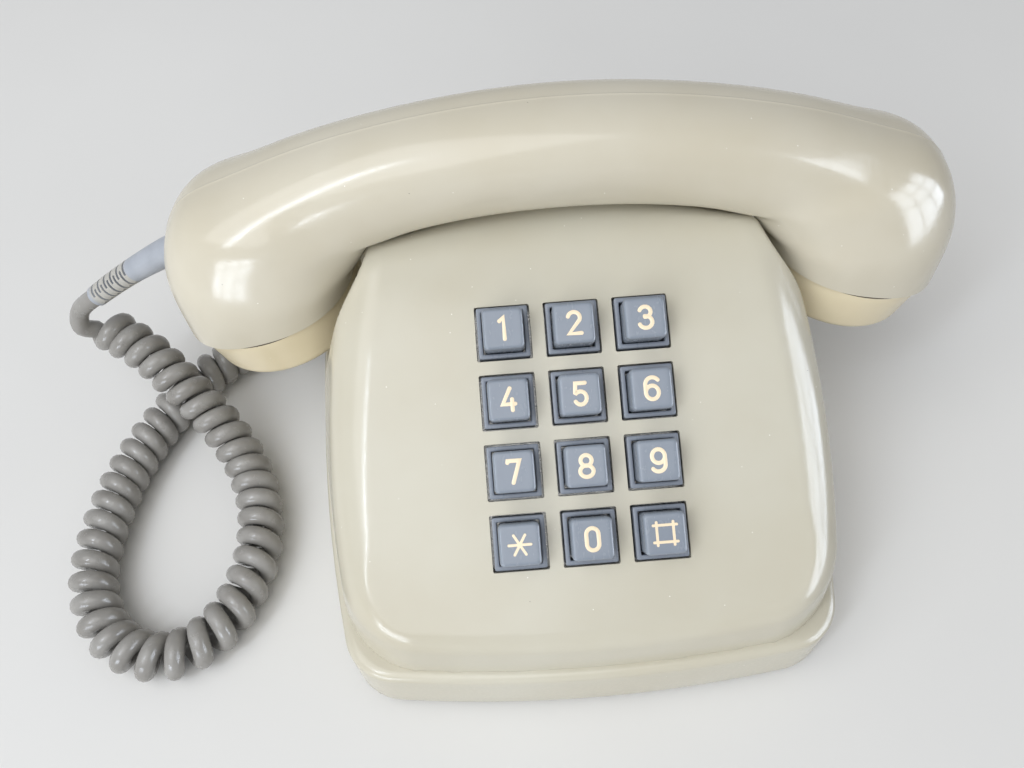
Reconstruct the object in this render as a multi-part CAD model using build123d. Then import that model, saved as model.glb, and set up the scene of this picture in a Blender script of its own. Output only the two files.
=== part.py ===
from build123d import *
import math
import os

# Desk telephone with twelve push-buttons, in millimetres.
# X runs from the left wall to the right wall, Y from the front edge to the
# back, Z up from the table.  The origin is on the table, under the middle of
# the base.

os.makedirs("parts", exist_ok=True)

# ---------------------------------------------------------------- driving sizes
BASE_DEPTH = 166.0          # base, front edge to back edge
BASE_HALF_MID = 80.0        # half width of the base at mid depth
FRONT_CORNER = (69.0, -77.5)
BACK_CORNER = (78.5, 78.0)
FRONT_RADIUS = 16.0         # plan radius of the front corners
BACK_RADIUS = 30.0          # plan radius of the back corners

FOOT_HEIGHT = 2.5
RIM_TOP = 25.0              # top of the base, where the cover stands
LEDGE = 2.8                 # how far the cover is set in from the base
WALL = 2.6                  # moulded wall
WALL_CURVE = 0.004          # inward lean of the cover's wall, per mm squared
COVER_TOP = 97.6            # top of the cradle

SLOPE = 28.0                # key surface, degrees up towards the back
KEY_ORIGIN = (0.0, -28.8, 68.5)   # middle of the keypad, on the cover
KEY_PITCH = 19.0
KEY_HOLE = 15.2
COLLAR = 14.0
COLLAR_BORE = 11.6
KEY_CAP = 11.0
KEY_STAND = 7.8             # key top above the cover

# handset: a profile drawn in its own mid plane, which leans back
LEAN = 6.0
FACE_TILT = 13.0            # the two caps turn in towards each other
HANDSET_ORIGIN = (0.0, 33.2, 69.5)
RING_X = 88.4               # middle of each cap seam
RING_RADIUS = 27.5
BACK_APEX = 56.0            # highest point of the handle's back
BACK_ARC = 250.0
UNDER_ARC = 235.0
HANDLE_THICK = 30.0
HANDLE_HALF_DEPTH = 16.8
FULLNESS = 0.9              # 1 is an ellipse, less is squarer
SECTION_POINTS = 16
CAP_DEPTH = 16.0
CAP_FACE_RADIUS = 26.0
CLEAR = 1.4                 # cradle clearance round the handle

CORD_WIRE = 6.0
COIL_DIAMETER = 15.4

parts = {}


def save(name, solids):
    """Keep a node: a shape, or a list of separate solids."""
    shapes = solids if isinstance(solids, (list, tuple)) else [solids]
    flat = [s for shape in shapes for s in shape.solids()]
    parts[name] = Compound(children=flat) if len(flat) > 1 else flat[0]


# ------------------------------------------------------------------ basic forms
def outline(inset, level, front_radius=FRONT_RADIUS, back_radius=BACK_RADIUS):
    """Barrel-shaped plan of the telephone, set in by inset, as a face."""
    fx, fy = FRONT_CORNER[0] - inset, FRONT_CORNER[1] + inset
    bx, by = BACK_CORNER[0] - inset, BACK_CORNER[1] - inset
    half = BASE_DEPTH / 2 - inset
    side = BASE_HALF_MID - inset
    edges = [
        ThreePointArc((-fx, fy), (0, -half), (fx, fy)),
        ThreePointArc((fx, fy), (side, 0), (bx, by)),
        ThreePointArc((bx, by), (0, half), (-bx, by)),
        ThreePointArc((-bx, by), (-side, 0), (-fx, fy)),
    ]
    face = make_face(edges)
    corners = face.vertices().sort_by(Axis.Y)
    face = fillet(corners[:2], front_radius)
    back = [v for v in face.vertices() if abs(v.X) > bx - 0.5 and v.Y > by - 0.5]
    face = fillet(back, back_radius)
    return Pos(0, 0, level) * face


def box(x0, x1, y0, y1, z0, z1):
    return Pos((x0 + x1) / 2, (y0 + y1) / 2, (z0 + z1) / 2) * Box(x1 - x0, y1 - y0, z1 - z0)


def rod(radius, x, y, z0, z1):
    return Pos(x, y, (z0 + z1) / 2) * Cylinder(radius, z1 - z0)


def slope_plane(height=0.0):
    """Plane of the keypad, height above the cover's sloping surface."""
    tilt = math.radians(SLOPE)
    normal = (0, -math.sin(tilt), math.cos(tilt))
    origin = tuple(k + height * n for k, n in zip(KEY_ORIGIN, normal))
    return Plane(origin=origin, x_dir=(1, 0, 0), z_dir=normal)


def on_slope(shape, u=0.0, v=0.0, height=0.0):
    return slope_plane(height) * Pos(u, v, 0) * shape


# ------------------------------------------------------------------- the cover
def lean_in(level):
    return LEDGE + WALL_CURVE * (level - RIM_TOP) ** 2


def cover_form(skin, bottom):
    """The cover's solid form, made smaller all round by skin."""
    levels = [bottom, 45.0, 65.0, 85.0, 104.0]
    sections = [outline(lean_in(max(z, RIM_TOP)) + skin, z) for z in levels]
    form = loft(sections)
    above = on_slope(Box(400, 400, 200), 0, 0, 100 - skin)
    form = form - above
    form = form - box(-200, 200, -200, 200, COVER_TOP - skin, 300)
    form = form - handle_channel(CLEAR + skin) - cap_pockets(2.5 + skin)
    return form - handset_form(-CLEAR - skin)


def lean_plane():
    """Handset mid plane: x along the telephone, z up the leaning handset."""
    tilt = math.radians(LEAN)
    return Plane(origin=HANDSET_ORIGIN, x_dir=(1, 0, 0), z_dir=(0, math.sin(tilt), math.cos(tilt)))


def handle_channel(gap):
    """Trough that the handle lies in: a ring of round section."""
    middle = BACK_APEX - HANDLE_THICK / 2
    arc = (BACK_ARC + UNDER_ARC) / 2
    ring = Torus(arc, 16.6 + gap)
    return lean_plane() * Pos(0, 0, middle - arc) * Rot(90, 0, 0) * ring


def cap_pockets(gap):
    """Round recess in each flank, where the caps hang."""
    _, y, z = HANDSET_ORIGIN
    cutters = [
        rod(RING_RADIUS + 1.5 + gap, side * (RING_X - 2.4), y, z - 19 - gap, z + 120)
        for side in (-1, 1)
    ]
    return cutters[0] + cutters[1]


BOSSES = [(-50.0, -62.0), (50.0, -62.0), (-63.0, 46.0), (63.0, 46.0)]
KEYPAD_POSTS = [(-36.0, -33.0), (36.0, -33.0), (-36.0, 33.0), (36.0, 33.0)]


def upper_cover():
    outside = cover_form(0.0, RIM_TOP)
    inside = cover_form(WALL, RIM_TOP - 1.0)
    shell = outside - inside
    for x, y in BOSSES:
        shell += (rod(4.5, x, y, 8.0, 120.0) & (outside + rod(4.5, x, y, 8.0, RIM_TOP)))
    for x, y in BOSSES:
        shell -= rod(1.6, x, y, 0.0, 24.0)
    for u, v in KEYPAD_POSTS:
        post = on_slope(Cylinder(3.5, 4.0), u, v, -WALL - 1.9)
        shell += post
        shell -= on_slope(Cylinder(1.3, 4.6), u, v, -WALL - 2.3)
    for u, v in key_places():
        hole = Box(KEY_HOLE, KEY_HOLE, 12)
        hole = fillet(hole.edges().filter_by(Axis.Z), 1.2)
        shell -= on_slope(hole, u, v, 0)
    for side in (-1, 1):
        shell -= rod(4.1, side * PLUNGER_X, PLUNGER_Y, 60, 130)
    return shell


# ------------------------------------------------------------------- the keypad
KEY_NAMES = ["1", "2", "3", "4", "5", "6", "7", "8", "9", "star", "0", "hash"]


def key_places():
    """Middle of each key on the slope, row by row from the top."""
    return [((c - 1) * KEY_PITCH, (1.5 - r) * KEY_PITCH) for r in range(4) for c in range(3)]


def key(u, v):
    """Square key cap on a stem that runs through the chassis."""
    cap = Box(KEY_CAP, KEY_CAP, KEY_STAND + 3.0)
    cap = fillet(cap.edges().filter_by(Axis.Z), 1.2)
    cap = fillet(cap.faces().sort_by(Axis.Z)[-1].edges(), 0.7)
    cap = Pos(0, 0, (KEY_STAND - 3.0) / 2) * cap
    stem = Pos(0, 0, -7.5) * Box(4.0, 4.0, 9.0)
    foot = Pos(0, 0, -10.4) * Box(6.0, 4.0, 0.8)
    return on_slope(cap + stem + foot, u, v)


def collar(u, v):
    """Fixed square frame round a key, standing on the chassis."""
    frame = Box(COLLAR, COLLAR, 9.0)
    frame = fillet(frame.edges().filter_by(Axis.Z), 1.0)
    frame -= Box(COLLAR_BORE, COLLAR_BORE, 20)
    return on_slope(Pos(0, 0, -3.7) * frame, u, v)


def keypad_chassis():
    """Sheet that carries the collars, with a window for each stem."""
    plate = Box(84, 78, 1.5)
    for u, v in key_places():
        plate -= Pos(u, v, 0) * Box(4.6, 4.6, 10)
    for u, v in KEYPAD_POSTS:
        plate -= Pos(u, v, 0) * Cylinder(1.6, 10)
    return on_slope(plate, 0, 0, -8.95)


def contact_board():
    board = on_slope(Box(70, 76, 1.6), 0, 0, -17.8)
    return board


def keypad_spacers():
    """Four pillars that hold the contact board under the chassis."""
    return [on_slope(Cylinder(2.4, 7.3), u, v, -13.35) for u in (-32, 32) for v in (-18, 18)]


def contact_cups():
    """Ring on the contact board under each key, which holds its contact."""
    ring = Cylinder(3.6, 2.2) - Cylinder(3.1, 4.0)
    return [on_slope(ring, u, v, -15.9) for u, v in key_places()]


def keypad_screws():
    screw = Pos(0, 0, -10.5) * Cylinder(2.6, 1.6) + Pos(0, 0, -7.9) * Cylinder(1.25, 4.4)
    return [on_slope(screw, u, v) for u, v in KEYPAD_POSTS]


# --------------------------------------------------------------------- the base
FEET = [(-60.0, -48.0), (60.0, -48.0), (-54.0, 60.0), (54.0, 60.0)]
GLAND = (54.0, 13.5)        # handset cord's entry in the left wall: y, z
INLET = (34.0, 13.5)        # line cord's entry in the back wall: x, z


def base_tray():
    tray = extrude(outline(0.0, FOOT_HEIGHT), RIM_TOP - FOOT_HEIGHT)
    tray = fillet(tray.faces().sort_by(Axis.Z)[-1].edges(), 2.4)
    tray = chamfer(tray.faces().sort_by(Axis.Z)[0].edges(), 1.2)
    tray -= extrude(outline(WALL, FOOT_HEIGHT + WALL), RIM_TOP - 2.6 - FOOT_HEIGHT - WALL)
    tray -= extrude(outline(6.2, RIM_TOP - 2.6), 10)
    for x, y in BOSSES:
        tray += rod(5.5, x, y, FOOT_HEIGHT + WALL, 8.0)
        tray -= rod(1.8, x, y, 0.0, 12.0)
        tray -= rod(3.4, x, y, 0.0, 5.0)
    for x, y in FEET:
        tray -= rod(7.0, x, y, 0.0, FOOT_HEIGHT + 1.0)
    y, z = GLAND
    tray -= Pos(-80, y, z) * Rot(0, 90, 0) * Cylinder(5.0, 14)
    x, z = INLET
    tray -= Pos(x, 83, z) * Rot(90, 0, 0) * Cylinder(4.5, 14)
    for x, y in BOARD_POSTS:
        tray += rod(2.5, x, y, FOOT_HEIGHT + WALL, 12.0)
    return tray


def rubber_feet():
    return [rod(7.0, x, y, 0.0, FOOT_HEIGHT + 1.0) for x, y in FEET]


def cover_screws():
    return [
        rod(3.0, x, y, 3.0, 5.0) + rod(1.45, x, y, 5.0, 20.0)
        for x, y in BOSSES
    ]


# --------------------------------------------------------------- boards and bell
BOARD_POSTS = [(-40.0, -44.0), (40.0, -44.0), (-40.0, -4.0), (40.0, -4.0)]
BOARD_TOP = 13.6


def main_board():
    return box(-46, 46, -50, 2, 12.0, BOARD_TOP)


def board_screws():
    return [rod(2.4, x, y, BOARD_TOP, BOARD_TOP + 1.4) for x, y in BOARD_POSTS]


def speech_transformer():
    core = box(-36, -14, -34, -16, BOARD_TOP, BOARD_TOP + 14)
    coil = box(-32, -18, -38, -12, BOARD_TOP + 3, BOARD_TOP + 12)
    return core + coil


def capacitors():
    lying = [
        Pos(14, y, BOARD_TOP + r) * Rot(0, 90, 0) * Cylinder(r, 24)
        for y, r in ((-36.0, 5.0), (-23.0, 6.0))
    ]
    return lying + [rod(4.0, 34, -20, BOARD_TOP, BOARD_TOP + 11)]


def resistors():
    return [
        Pos(x, -6, BOARD_TOP + 1.4) * Rot(90, 0, 0) * Cylinder(1.4, 8)
        for x in (-30, -24, -18, -8, -2, 4, 14, 20, 26)
    ]


def terminal_block():
    block = box(-24, 24, 10, 20, FOOT_HEIGHT + WALL, 15)
    for i in range(6):
        block -= box(-21 + 7.4 * i, -16 + 7.4 * i, 9, 17, 10, 20)
    return block


def terminal_screws():
    return [rod(1.7, -18.5 + 7.4 * i, 13, 10, 12.4) for i in range(6)]


GONG_X = 27.0
GONG_Y = 52.0
GONG_RADIUS = 21.0
YOKE_Y = 26.8


def gong(side, thick):
    """Shallow steel bell cup, open downwards."""
    dome = Cylinder(GONG_RADIUS, 14)
    dome = fillet(dome.faces().sort_by(Axis.Z)[-1].edges(), 9)
    hollow = Cylinder(GONG_RADIUS - thick, 14)
    hollow = fillet(hollow.faces().sort_by(Axis.Z)[-1].edges(), 9 - thick)
    cup = dome - Pos(0, 0, -thick) * hollow - Cylinder(2.2, 40)
    return Pos(side * GONG_X, GONG_Y, 33) * cup


def gong_posts():
    return [
        rod(3.2, s * GONG_X, GONG_Y, 9.2, 40 - t) + rod(2.0, s * GONG_X, GONG_Y, 38, 42)
        for s, t in ((-1, 1.6), (1, 1.3))
    ]


def gong_nuts():
    return [
        extrude(Pos(s * GONG_X, GONG_Y, 40) * (RegularPolygon(4.0, 6) - Circle(2.1)), 2.4)
        for s in (-1, 1)
    ]


def ringer_frame():
    plate = box(-50, 50, 26, 76, 7.6, 9.2)
    plate -= box(-6, 6, 56, 80, 0, 20)
    yoke = box(-20, 20, YOKE_Y - 1, YOKE_Y + 1, 9.2, 36)
    legs = [rod(3.0, x, y, FOOT_HEIGHT + WALL, 7.6) for x in (-44, 44) for y in (31, 71)]
    return plate + yoke + legs


def ringer_coils():
    lay = Rot(90, 0, 0)
    ring = Cylinder(7.5, 5) - Cylinder(2.5, 10)
    return [Pos(x, YOKE_Y - 3.5, 26) * lay * ring for x in (-12, 12)]


def ringer_magnet():
    """Magnet bar across the ends of the two coil cores."""
    bar = box(-16, 16, YOKE_Y - 10.2, YOKE_Y - 7.0, 17, 31)
    cores = [Pos(x, YOKE_Y - 4.0, 26) * Rot(90, 0, 0) * Cylinder(2.4, 6.0) for x in (-12, 12)]
    return bar + cores[0] + cores[1]


HAMMER_PIVOT = (0.0, 31.5)


def ringer_hammer():
    x, y = HAMMER_PIVOT
    hub = rod(3.0, x, y, 22, 34) - rod(1.1, x, y, 20, 40)
    arm = box(-0.8, 0.8, y + 2.6, 54, 27, 29)
    ball = Pos(0, 55, 28) * Sphere(3.0)
    return hub + arm + ball


def hammer_pin():
    x, y = HAMMER_PIVOT
    pin = rod(1.05, x, y, 9.2, 37.0)
    return pin


# ------------------------------------------------------------------- hook switch
PLUNGER_X = 36.0
PLUNGER_Y = 37.0
PLUNGER_TOP = 91.9


def hook_plungers():
    """Two round buttons in the trough, on one cross bar."""
    buttons = []
    for side in (-1, 1):
        button = rod(3.8, side * PLUNGER_X, PLUNGER_Y, 76, PLUNGER_TOP)
        buttons.append(fillet(button.faces().sort_by(Axis.Z)[-1].edges(), 1.6))
    return buttons


def hook_bar():
    bar = box(-42, 42, 33, 41, 73, 76)
    finger = box(-4, 4, 35, 39, 68.5, 73)
    guides = [rod(2.0, side * 20, PLUNGER_Y, 62, 73) for side in (-1, 1)]
    return bar + finger + guides[0] + guides[1]


def hook_bracket():
    """Steel bracket that guides the cross bar, on two legs."""
    plate = box(-32, 32, 31, 43, 63.0, 64.6)
    for side in (-1, 1):
        plate -= rod(2.08, side * 20, PLUNGER_Y, 50, 80)
    plate -= box(-5, 5, 34, 40, 50, 80)
    legs = [box(s * 6 - 1.0, s * 6 + 1.0, 42.0, 43.0, 9.2, 64) for s in (-1, 1)]
    return plate + legs[0] + legs[1]


def hook_springs():
    ring = Cylinder(3.4, 8.2) - Cylinder(2.7, 12)
    return [Pos(side * 20, PLUNGER_Y, 68.8) * ring for side in (-1, 1)]


def hook_contacts():
    stack = box(-12, -5.5, 34, 40, 64.6, 70)
    return stack


# ----------------------------------------------------------------------- handset
def back_line(x):
    return BACK_APEX - (BACK_ARC - math.sqrt(BACK_ARC ** 2 - x * x))


def under_line(x):
    return BACK_APEX - HANDLE_THICK - (UNDER_ARC - math.sqrt(UNDER_ARC ** 2 - x * x))


def stations():
    """Right half of the handset: outer point, inner point, half depth."""
    tilt = math.radians(FACE_TILT)
    run, rise = RING_RADIUS * math.cos(tilt), RING_RADIUS * math.sin(tilt)
    rows = [((RING_X + run, -rise), (RING_X - run, rise), RING_RADIUS)]
    rows += [
        ((115.8, 4.0), (60.9, 9.0), 27.6),
        ((115.6, 14.0), (59.2, 12.0), 27.0),
        ((112.4, 24.0), (56.4, 14.8), 25.0),
    ]
    for outer, inner, depth in ((104.5, 52, 22.5), (93, 46.5, 20.0), (76, 39, 18.2), (50, 26, 17.0)):
        rows.append(((outer, back_line(outer)), (inner, under_line(inner)), depth))
    return rows


def handset_section(outer, inner, depth, skin):
    """Closed oval between an outer and an inner point of the profile."""
    plane = lean_plane()
    cx, cz = (outer[0] + inner[0]) / 2, (outer[1] + inner[1]) / 2
    dx, dz = outer[0] - inner[0], outer[1] - inner[1]
    length = math.hypot(dx, dz)
    half = length / 2 - skin
    spots = []
    for i in range(SECTION_POINTS):
        angle = 2 * math.pi * i / SECTION_POINTS
        c, s = math.cos(angle), math.sin(angle)
        u = half * math.copysign(abs(c) ** FULLNESS, c)
        v = (depth - skin) * math.copysign(abs(s) ** FULLNESS, s)
        spots.append(plane.from_local_coords(Vector(cx + u * dx / length, v, cz + u * dz / length)))
    return make_face(Spline(*spots, periodic=True))


def handset_form(skin):
    """Handset's solid form: lofts of ovals, from cap seam to cap seam."""
    rows = stations()
    middle = ((0.0, back_line(0)), (0.0, under_line(0)), HANDLE_HALF_DEPTH)
    far = rows[-1]
    opposite = ((-far[0][0], far[0][1]), (-far[1][0], far[1][1]), far[2])
    groups = [rows[0:4], rows[3:7], rows[6:8]]
    ends = [loft([handset_section(*row, skin) for row in group]) for group in groups]
    form = loft([handset_section(*row, skin) for row in (far, middle, opposite)])
    for end in ends:
        form += end
        form += mirror(end, about=Plane.YZ)
    return form


def cap_plane(side):
    """Plane of a cap seam, z pointing into the handset."""
    tilt = math.radians(FACE_TILT)
    plane = lean_plane()
    origin = plane.from_local_coords(Vector(side * RING_X, 0, 0))
    normal = plane.x_dir * (side * math.sin(tilt)) + plane.z_dir * math.cos(tilt)
    along = plane.x_dir * math.cos(tilt) - plane.z_dir * (side * math.sin(tilt))
    return Plane(origin=origin, x_dir=along, z_dir=normal)


def handset_shell():
    shell = handset_form(0.0) - handset_form(WALL)
    for side in (-1, 1):
        shell -= cap_plane(side) * Cylinder(RING_RADIUS - WALL + 0.1, 3.0)
    shell -= boot_plane() * Cylinder(4.8, 12.0)
    return shell


def cap(side, holes):
    """Screw-on cap: a shallow cup with a spigot inside the shell."""
    outer = loft([
        Circle(RING_RADIUS),
        Pos(0, 0, -CAP_DEPTH) * Circle(CAP_FACE_RADIUS),
    ])
    outer = fillet(outer.faces().sort_by(Axis.Z)[0].edges(), 3.0)
    cup = outer - Pos(0, 0, -CAP_DEPTH / 2 + 2.4) * Cylinder(RING_RADIUS - WALL - 0.6, CAP_DEPTH)
    spigot = Pos(0, 0, -0.5) * (Cylinder(RING_RADIUS - WALL - 0.4, 7.0) - Cylinder(22.6, 12.0))
    cup += spigot
    for radius, count in holes:
        for i in range(count):
            angle = 2 * math.pi * i / count
            place = Pos(radius * math.cos(angle), radius * math.sin(angle), -CAP_DEPTH)
            cup -= place * Cylinder(1.1, 8)
    return cap_plane(side) * cup


def capsule(side, depth):
    """Sound capsule behind the cap's holes."""
    body = Pos(0, 0, -CAP_DEPTH + 2.7 + depth / 2) * Cylinder(21.0, depth)
    rim = Pos(0, 0, -CAP_DEPTH + 2.7 + depth - 1.5) * Cylinder(22.0, 2.0)
    return cap_plane(side) * (body + rim)


# -------------------------------------------------------------- boot, cord, gland
BOOT_ROOT = (-113.0, 37.0, 82.6)
BOOT_END = (-148.4, 41.3, 58.0)
BOOT_NECK = 22.5            # smooth part, from the root
BOOT_SLOTS = 11
SLOT_PITCH = 1.75
SLOT_WIDTH = 0.75
SLOT_BRIDGE = 5.0


def boot_plane():
    root, end = Vector(*BOOT_ROOT), Vector(*BOOT_END)
    return Plane(origin=root, z_dir=(end - root).normalized())


def handset_strain_relief():
    """Moulded boot: a smooth neck, then a slotted flexible part."""
    length = (Vector(*BOOT_END) - Vector(*BOOT_ROOT)).length
    boot = loft([Circle(4.6), Pos(0, 0, BOOT_NECK) * Circle(3.9)])
    boot += loft([Pos(0, 0, BOOT_NECK) * Circle(3.9), Pos(0, 0, length) * Circle(3.5)])
    for i in range(BOOT_SLOTS):
        level = BOOT_NECK + 1.2 + SLOT_PITCH * i
        slot = Box(20, 20, SLOT_WIDTH)
        slot -= Box(SLOT_BRIDGE, 20, 4) if i % 2 else Box(20, SLOT_BRIDGE, 4)
        boot -= Pos(0, 0, level) * (slot - Cylinder(2.7, 4))
    return boot_plane() * boot


UPPER_LEAD = [
    (-148.8, 41.38, 57.75), (-154.3, 42.46, 54.4), (-160.9, 42.9, 48.8), (-161.2, 43.1, 43.2),
    (-156.5, 42.32, 40.86), (-151.5, 40.6, 38.0),
]
COIL = [
    (-151.5, 40.6, 38.0), (-141.0, 37.0, 32.0), (-129.3, 26.3, 24.5), (-118.6, 15.8, 16.5),
    (-109.0, 2.0, 9.5), (-103.0, -17.0, 7.9), (-104.5, -38.0, 7.9), (-114.0, -56.0, 7.9),
    (-130.0, -63.5, 7.9), (-147.5, -56.0, 7.9), (-157.0, -38.0, 7.9), (-156.5, -17.0, 7.9),
    (-151.5, 5.0, 7.9), (-141.0, 26.0, 7.9), (-129.0, 42.0, 7.9), (-115.0, 53.5, 8.2),
    (-100.0, 56.5, 10.5),
]
LOWER_LEAD = [(-100.0, 56.5, 10.5), (-95.1, 57.48, 11.25), (-90.0, 54.0, 13.5), (-84.6, 54.0, 13.5)]


def smooth_route(points):
    """Straight runs joined by arcs as large as their runs allow."""
    spots = [Vector(*p) for p in points]
    radii = []
    for a, b, c in zip(spots, spots[1:], spots[2:]):
        turn = math.radians((b - a).get_angle(c - b))
        shorter = min((b - a).length, (c - b).length)
        radii.append(0.45 * shorter / math.tan(turn / 2))
    print("arc radii", [round(r, 1) for r in radii])
    return FilletPolyline(*spots, radius=radii)


def tube(points, diameter):
    path = smooth_route(points)
    start = Plane(origin=path @ 0, z_dir=path % 0)
    solid = sweep(start * Circle(diameter / 2), path=path)
    print("length", round(path.length, 1), "volume ratio",
          round(solid.volume / (math.pi * diameter ** 2 / 4 * path.length), 4))
    return solid


def cord_gland():
    """Moulded grommet in the left wall of the base."""
    y, z = GLAND
    lay = Rot(0, -90, 0)
    sleeve = Pos(-77.4, y, z) * lay * Cylinder(4.9, 9.2)
    flange = Pos(-73.5, y, z) * lay * Cylinder(6.8, 1.8)
    nose = Pos(-83.2, y, z) * lay * Cylinder(4.2, 2.8)
    return sleeve + flange + nose


def line_cord_inlet():
    """Grommet in the back wall, for the line cord."""
    x, z = INLET
    lay = Rot(90, 0, 0)
    sleeve = Pos(x, 80.6, z) * lay * Cylinder(4.4, 4.4)
    flange = Pos(x, 77.4, z) * lay * Cylinder(6.4, 2.0)
    return sleeve + flange - Pos(x, 80, z) * lay * Cylinder(2.6, 20)


# ----------------------------------------------------------------------- assembly
def main():
    save("base_tray", base_tray())
    save("rubber_feet", rubber_feet())
    save("cover_screws", cover_screws())
    save("upper_cover", upper_cover())
    save("key_collars", [collar(u, v) for u, v in key_places()])
    save("keypad_chassis", keypad_chassis())
    save("contact_board", contact_board())
    save("keypad_spacers", keypad_spacers())
    save("contact_cups", contact_cups())
    save("keypad_screws", keypad_screws())
    for name, (u, v) in zip(KEY_NAMES, key_places()):
        save("key_" + name, key(u, v))
    save("main_board", main_board())
    save("board_screws", board_screws())
    save("speech_transformer", speech_transformer())
    save("capacitors", capacitors())
    save("resistors", resistors())
    save("terminal_block", terminal_block())
    save("terminal_screws", terminal_screws())
    save("gong_low", gong(-1, 1.6))
    save("gong_high", gong(1, 1.3))
    save("gong_posts", gong_posts())
    save("gong_nuts", gong_nuts())
    save("ringer_frame", ringer_frame())
    save("ringer_coils", ringer_coils())
    save("ringer_magnet", ringer_magnet())
    save("ringer_hammer", ringer_hammer())
    save("hammer_pin", hammer_pin())
    save("hook_plungers", hook_plungers())
    save("hook_bar", hook_bar())
    save("hook_bracket", hook_bracket())
    save("hook_springs", hook_springs())
    save("hook_contacts", hook_contacts())
    save("handset_shell", handset_shell())
    save("mouth_cap", cap(-1, ((0, 1), (6, 6), (12, 12))))
    save("ear_cap", cap(1, ((0, 1), (5, 6), (10, 10))))
    save("transmitter_capsule", capsule(-1, 11))
    save("receiver_capsule", capsule(1, 13))
    save("handset_strain_relief", handset_strain_relief())
    save("handset_cord_lead", tube(UPPER_LEAD, CORD_WIRE))
    save("handset_cord_coil", tube(COIL, COIL_DIAMETER))
    save("base_cord_lead", tube(LOWER_LEAD, CORD_WIRE))
    save("cord_gland", cord_gland())
    save("line_cord_inlet", line_cord_inlet())
    for name, shape in parts.items():
        export_step(shape, os.path.join("parts", name + ".step"))


main()
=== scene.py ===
import math

import bmesh
import bpy
import numpy as np
from mathutils import Matrix, Vector


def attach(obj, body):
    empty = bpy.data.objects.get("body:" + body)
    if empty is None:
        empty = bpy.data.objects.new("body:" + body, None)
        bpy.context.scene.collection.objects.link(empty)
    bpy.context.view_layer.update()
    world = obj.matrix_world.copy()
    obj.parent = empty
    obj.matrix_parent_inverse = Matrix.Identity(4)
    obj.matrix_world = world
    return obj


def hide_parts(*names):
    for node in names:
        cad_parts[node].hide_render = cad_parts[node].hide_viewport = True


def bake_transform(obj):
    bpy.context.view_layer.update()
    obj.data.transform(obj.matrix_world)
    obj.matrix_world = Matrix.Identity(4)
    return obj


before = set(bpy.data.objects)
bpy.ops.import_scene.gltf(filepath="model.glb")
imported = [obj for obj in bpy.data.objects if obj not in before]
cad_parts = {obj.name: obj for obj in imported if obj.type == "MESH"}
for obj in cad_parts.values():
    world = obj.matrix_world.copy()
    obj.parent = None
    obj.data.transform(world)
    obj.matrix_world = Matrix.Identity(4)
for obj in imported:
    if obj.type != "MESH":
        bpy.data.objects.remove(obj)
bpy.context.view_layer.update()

# Desk telephone with twelve push-buttons.  Lengths are in millimetres and
# become metres when a mesh is made.  X runs left to right, Y front to back,
# Z up from the table, with the origin on the table under the base.
MM = 0.001

# ---------------------------------------------------------------- base and cover
BASE_HALF_DEPTH = 83.0
BASE_HALF_MID = 80.0
FRONT_CORNER = (69.0, -77.5)
BACK_CORNER = (78.5, 78.0)
FRONT_RADIUS = 16.0
BACK_RADIUS = 30.0
FOOT_HEIGHT = 2.5
RIM_TOP = 25.0
RIM_ROUND = 2.4
RIM_WIDTH = 6.2
LEDGE = 2.8
WALL = 2.6
WALL_CURVE = 0.004
COVER_TOP = 97.6
FRONT_CREASE = 3.2
SIDE_SHOULDER = 9.0
SHOULDER_RUN = 26.0         # run over which the front crease softens into the shoulder
BROW_RADIUS = 18.0          # key face into the flat top
COVER_GRID = 1.25           # spacing of the cover's mesh
ROOM_GRID = 2.6             # spacing of its lining
COVER_REACH = ((-80.3, -83.2, 20.3), (81.0, 84.0, 100.5))

SLOPE = math.radians(28.0)
KEY_ORIGIN = Vector((0.0, -28.8, 68.5))
KEY_PITCH = 19.0
KEY_HOLE = 15.2
COLLAR = 14.0
COLLAR_BORE = 11.6
KEY_CAP = 11.0
KEY_STAND = 7.8
SCREWS = [(-50.0, -62.0), (50.0, -62.0), (-63.0, 46.0), (63.0, 46.0)]
FEET = [(-60.0, -48.0), (60.0, -48.0), (-54.0, 60.0), (54.0, 60.0)]
FOOT_RADIUS = 7.0
SCREW_WELL = 3.4
GLAND = (54.0, 13.5)
GLAND_HOLE = 5.0
INLET = (34.0, 13.5)
INLET_HOLE = 4.5
WALL_DRILL = 7.0            # half length of a drill through a side wall
PLUNGER = (36.0, 37.0)
PLUNGER_HOLE = 4.1

# ----------------------------------------------------------------------- handset
LEAN = math.radians(6.0)
FACE_TILT = math.radians(13.0)
HANDSET_ORIGIN = Vector((0.0, 33.2, 69.5))
RING_X = 88.4
RING_RADIUS = 27.5
BACK_APEX = 56.0
BACK_ARC = 250.0
UNDER_ARC = 235.0
HANDLE_THICK = 30.0
HANDLE_HALF_DEPTH = 16.8
FULLNESS = 0.85
CAP_DEPTH = 16.0
CAP_GAP = 0.4
CRADLE_RADIUS = 18.0
CRADLE_EDGE = 2.0
POCKET_X = 86.0
POCKET_RADIUS = 31.5
POCKET_FLOOR = 48.0
POCKET_ROUND = 5.0

# -------------------------------------------------------------------------- cord
CORD_WIRE = 6.0
COIL_DIAMETER = 15.4
BOOT_LINE = [(-112.2, 36.9, 83.0), (-130.6, 41.0, 71.4), (-148.4, 41.3, 58.0)]

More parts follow.
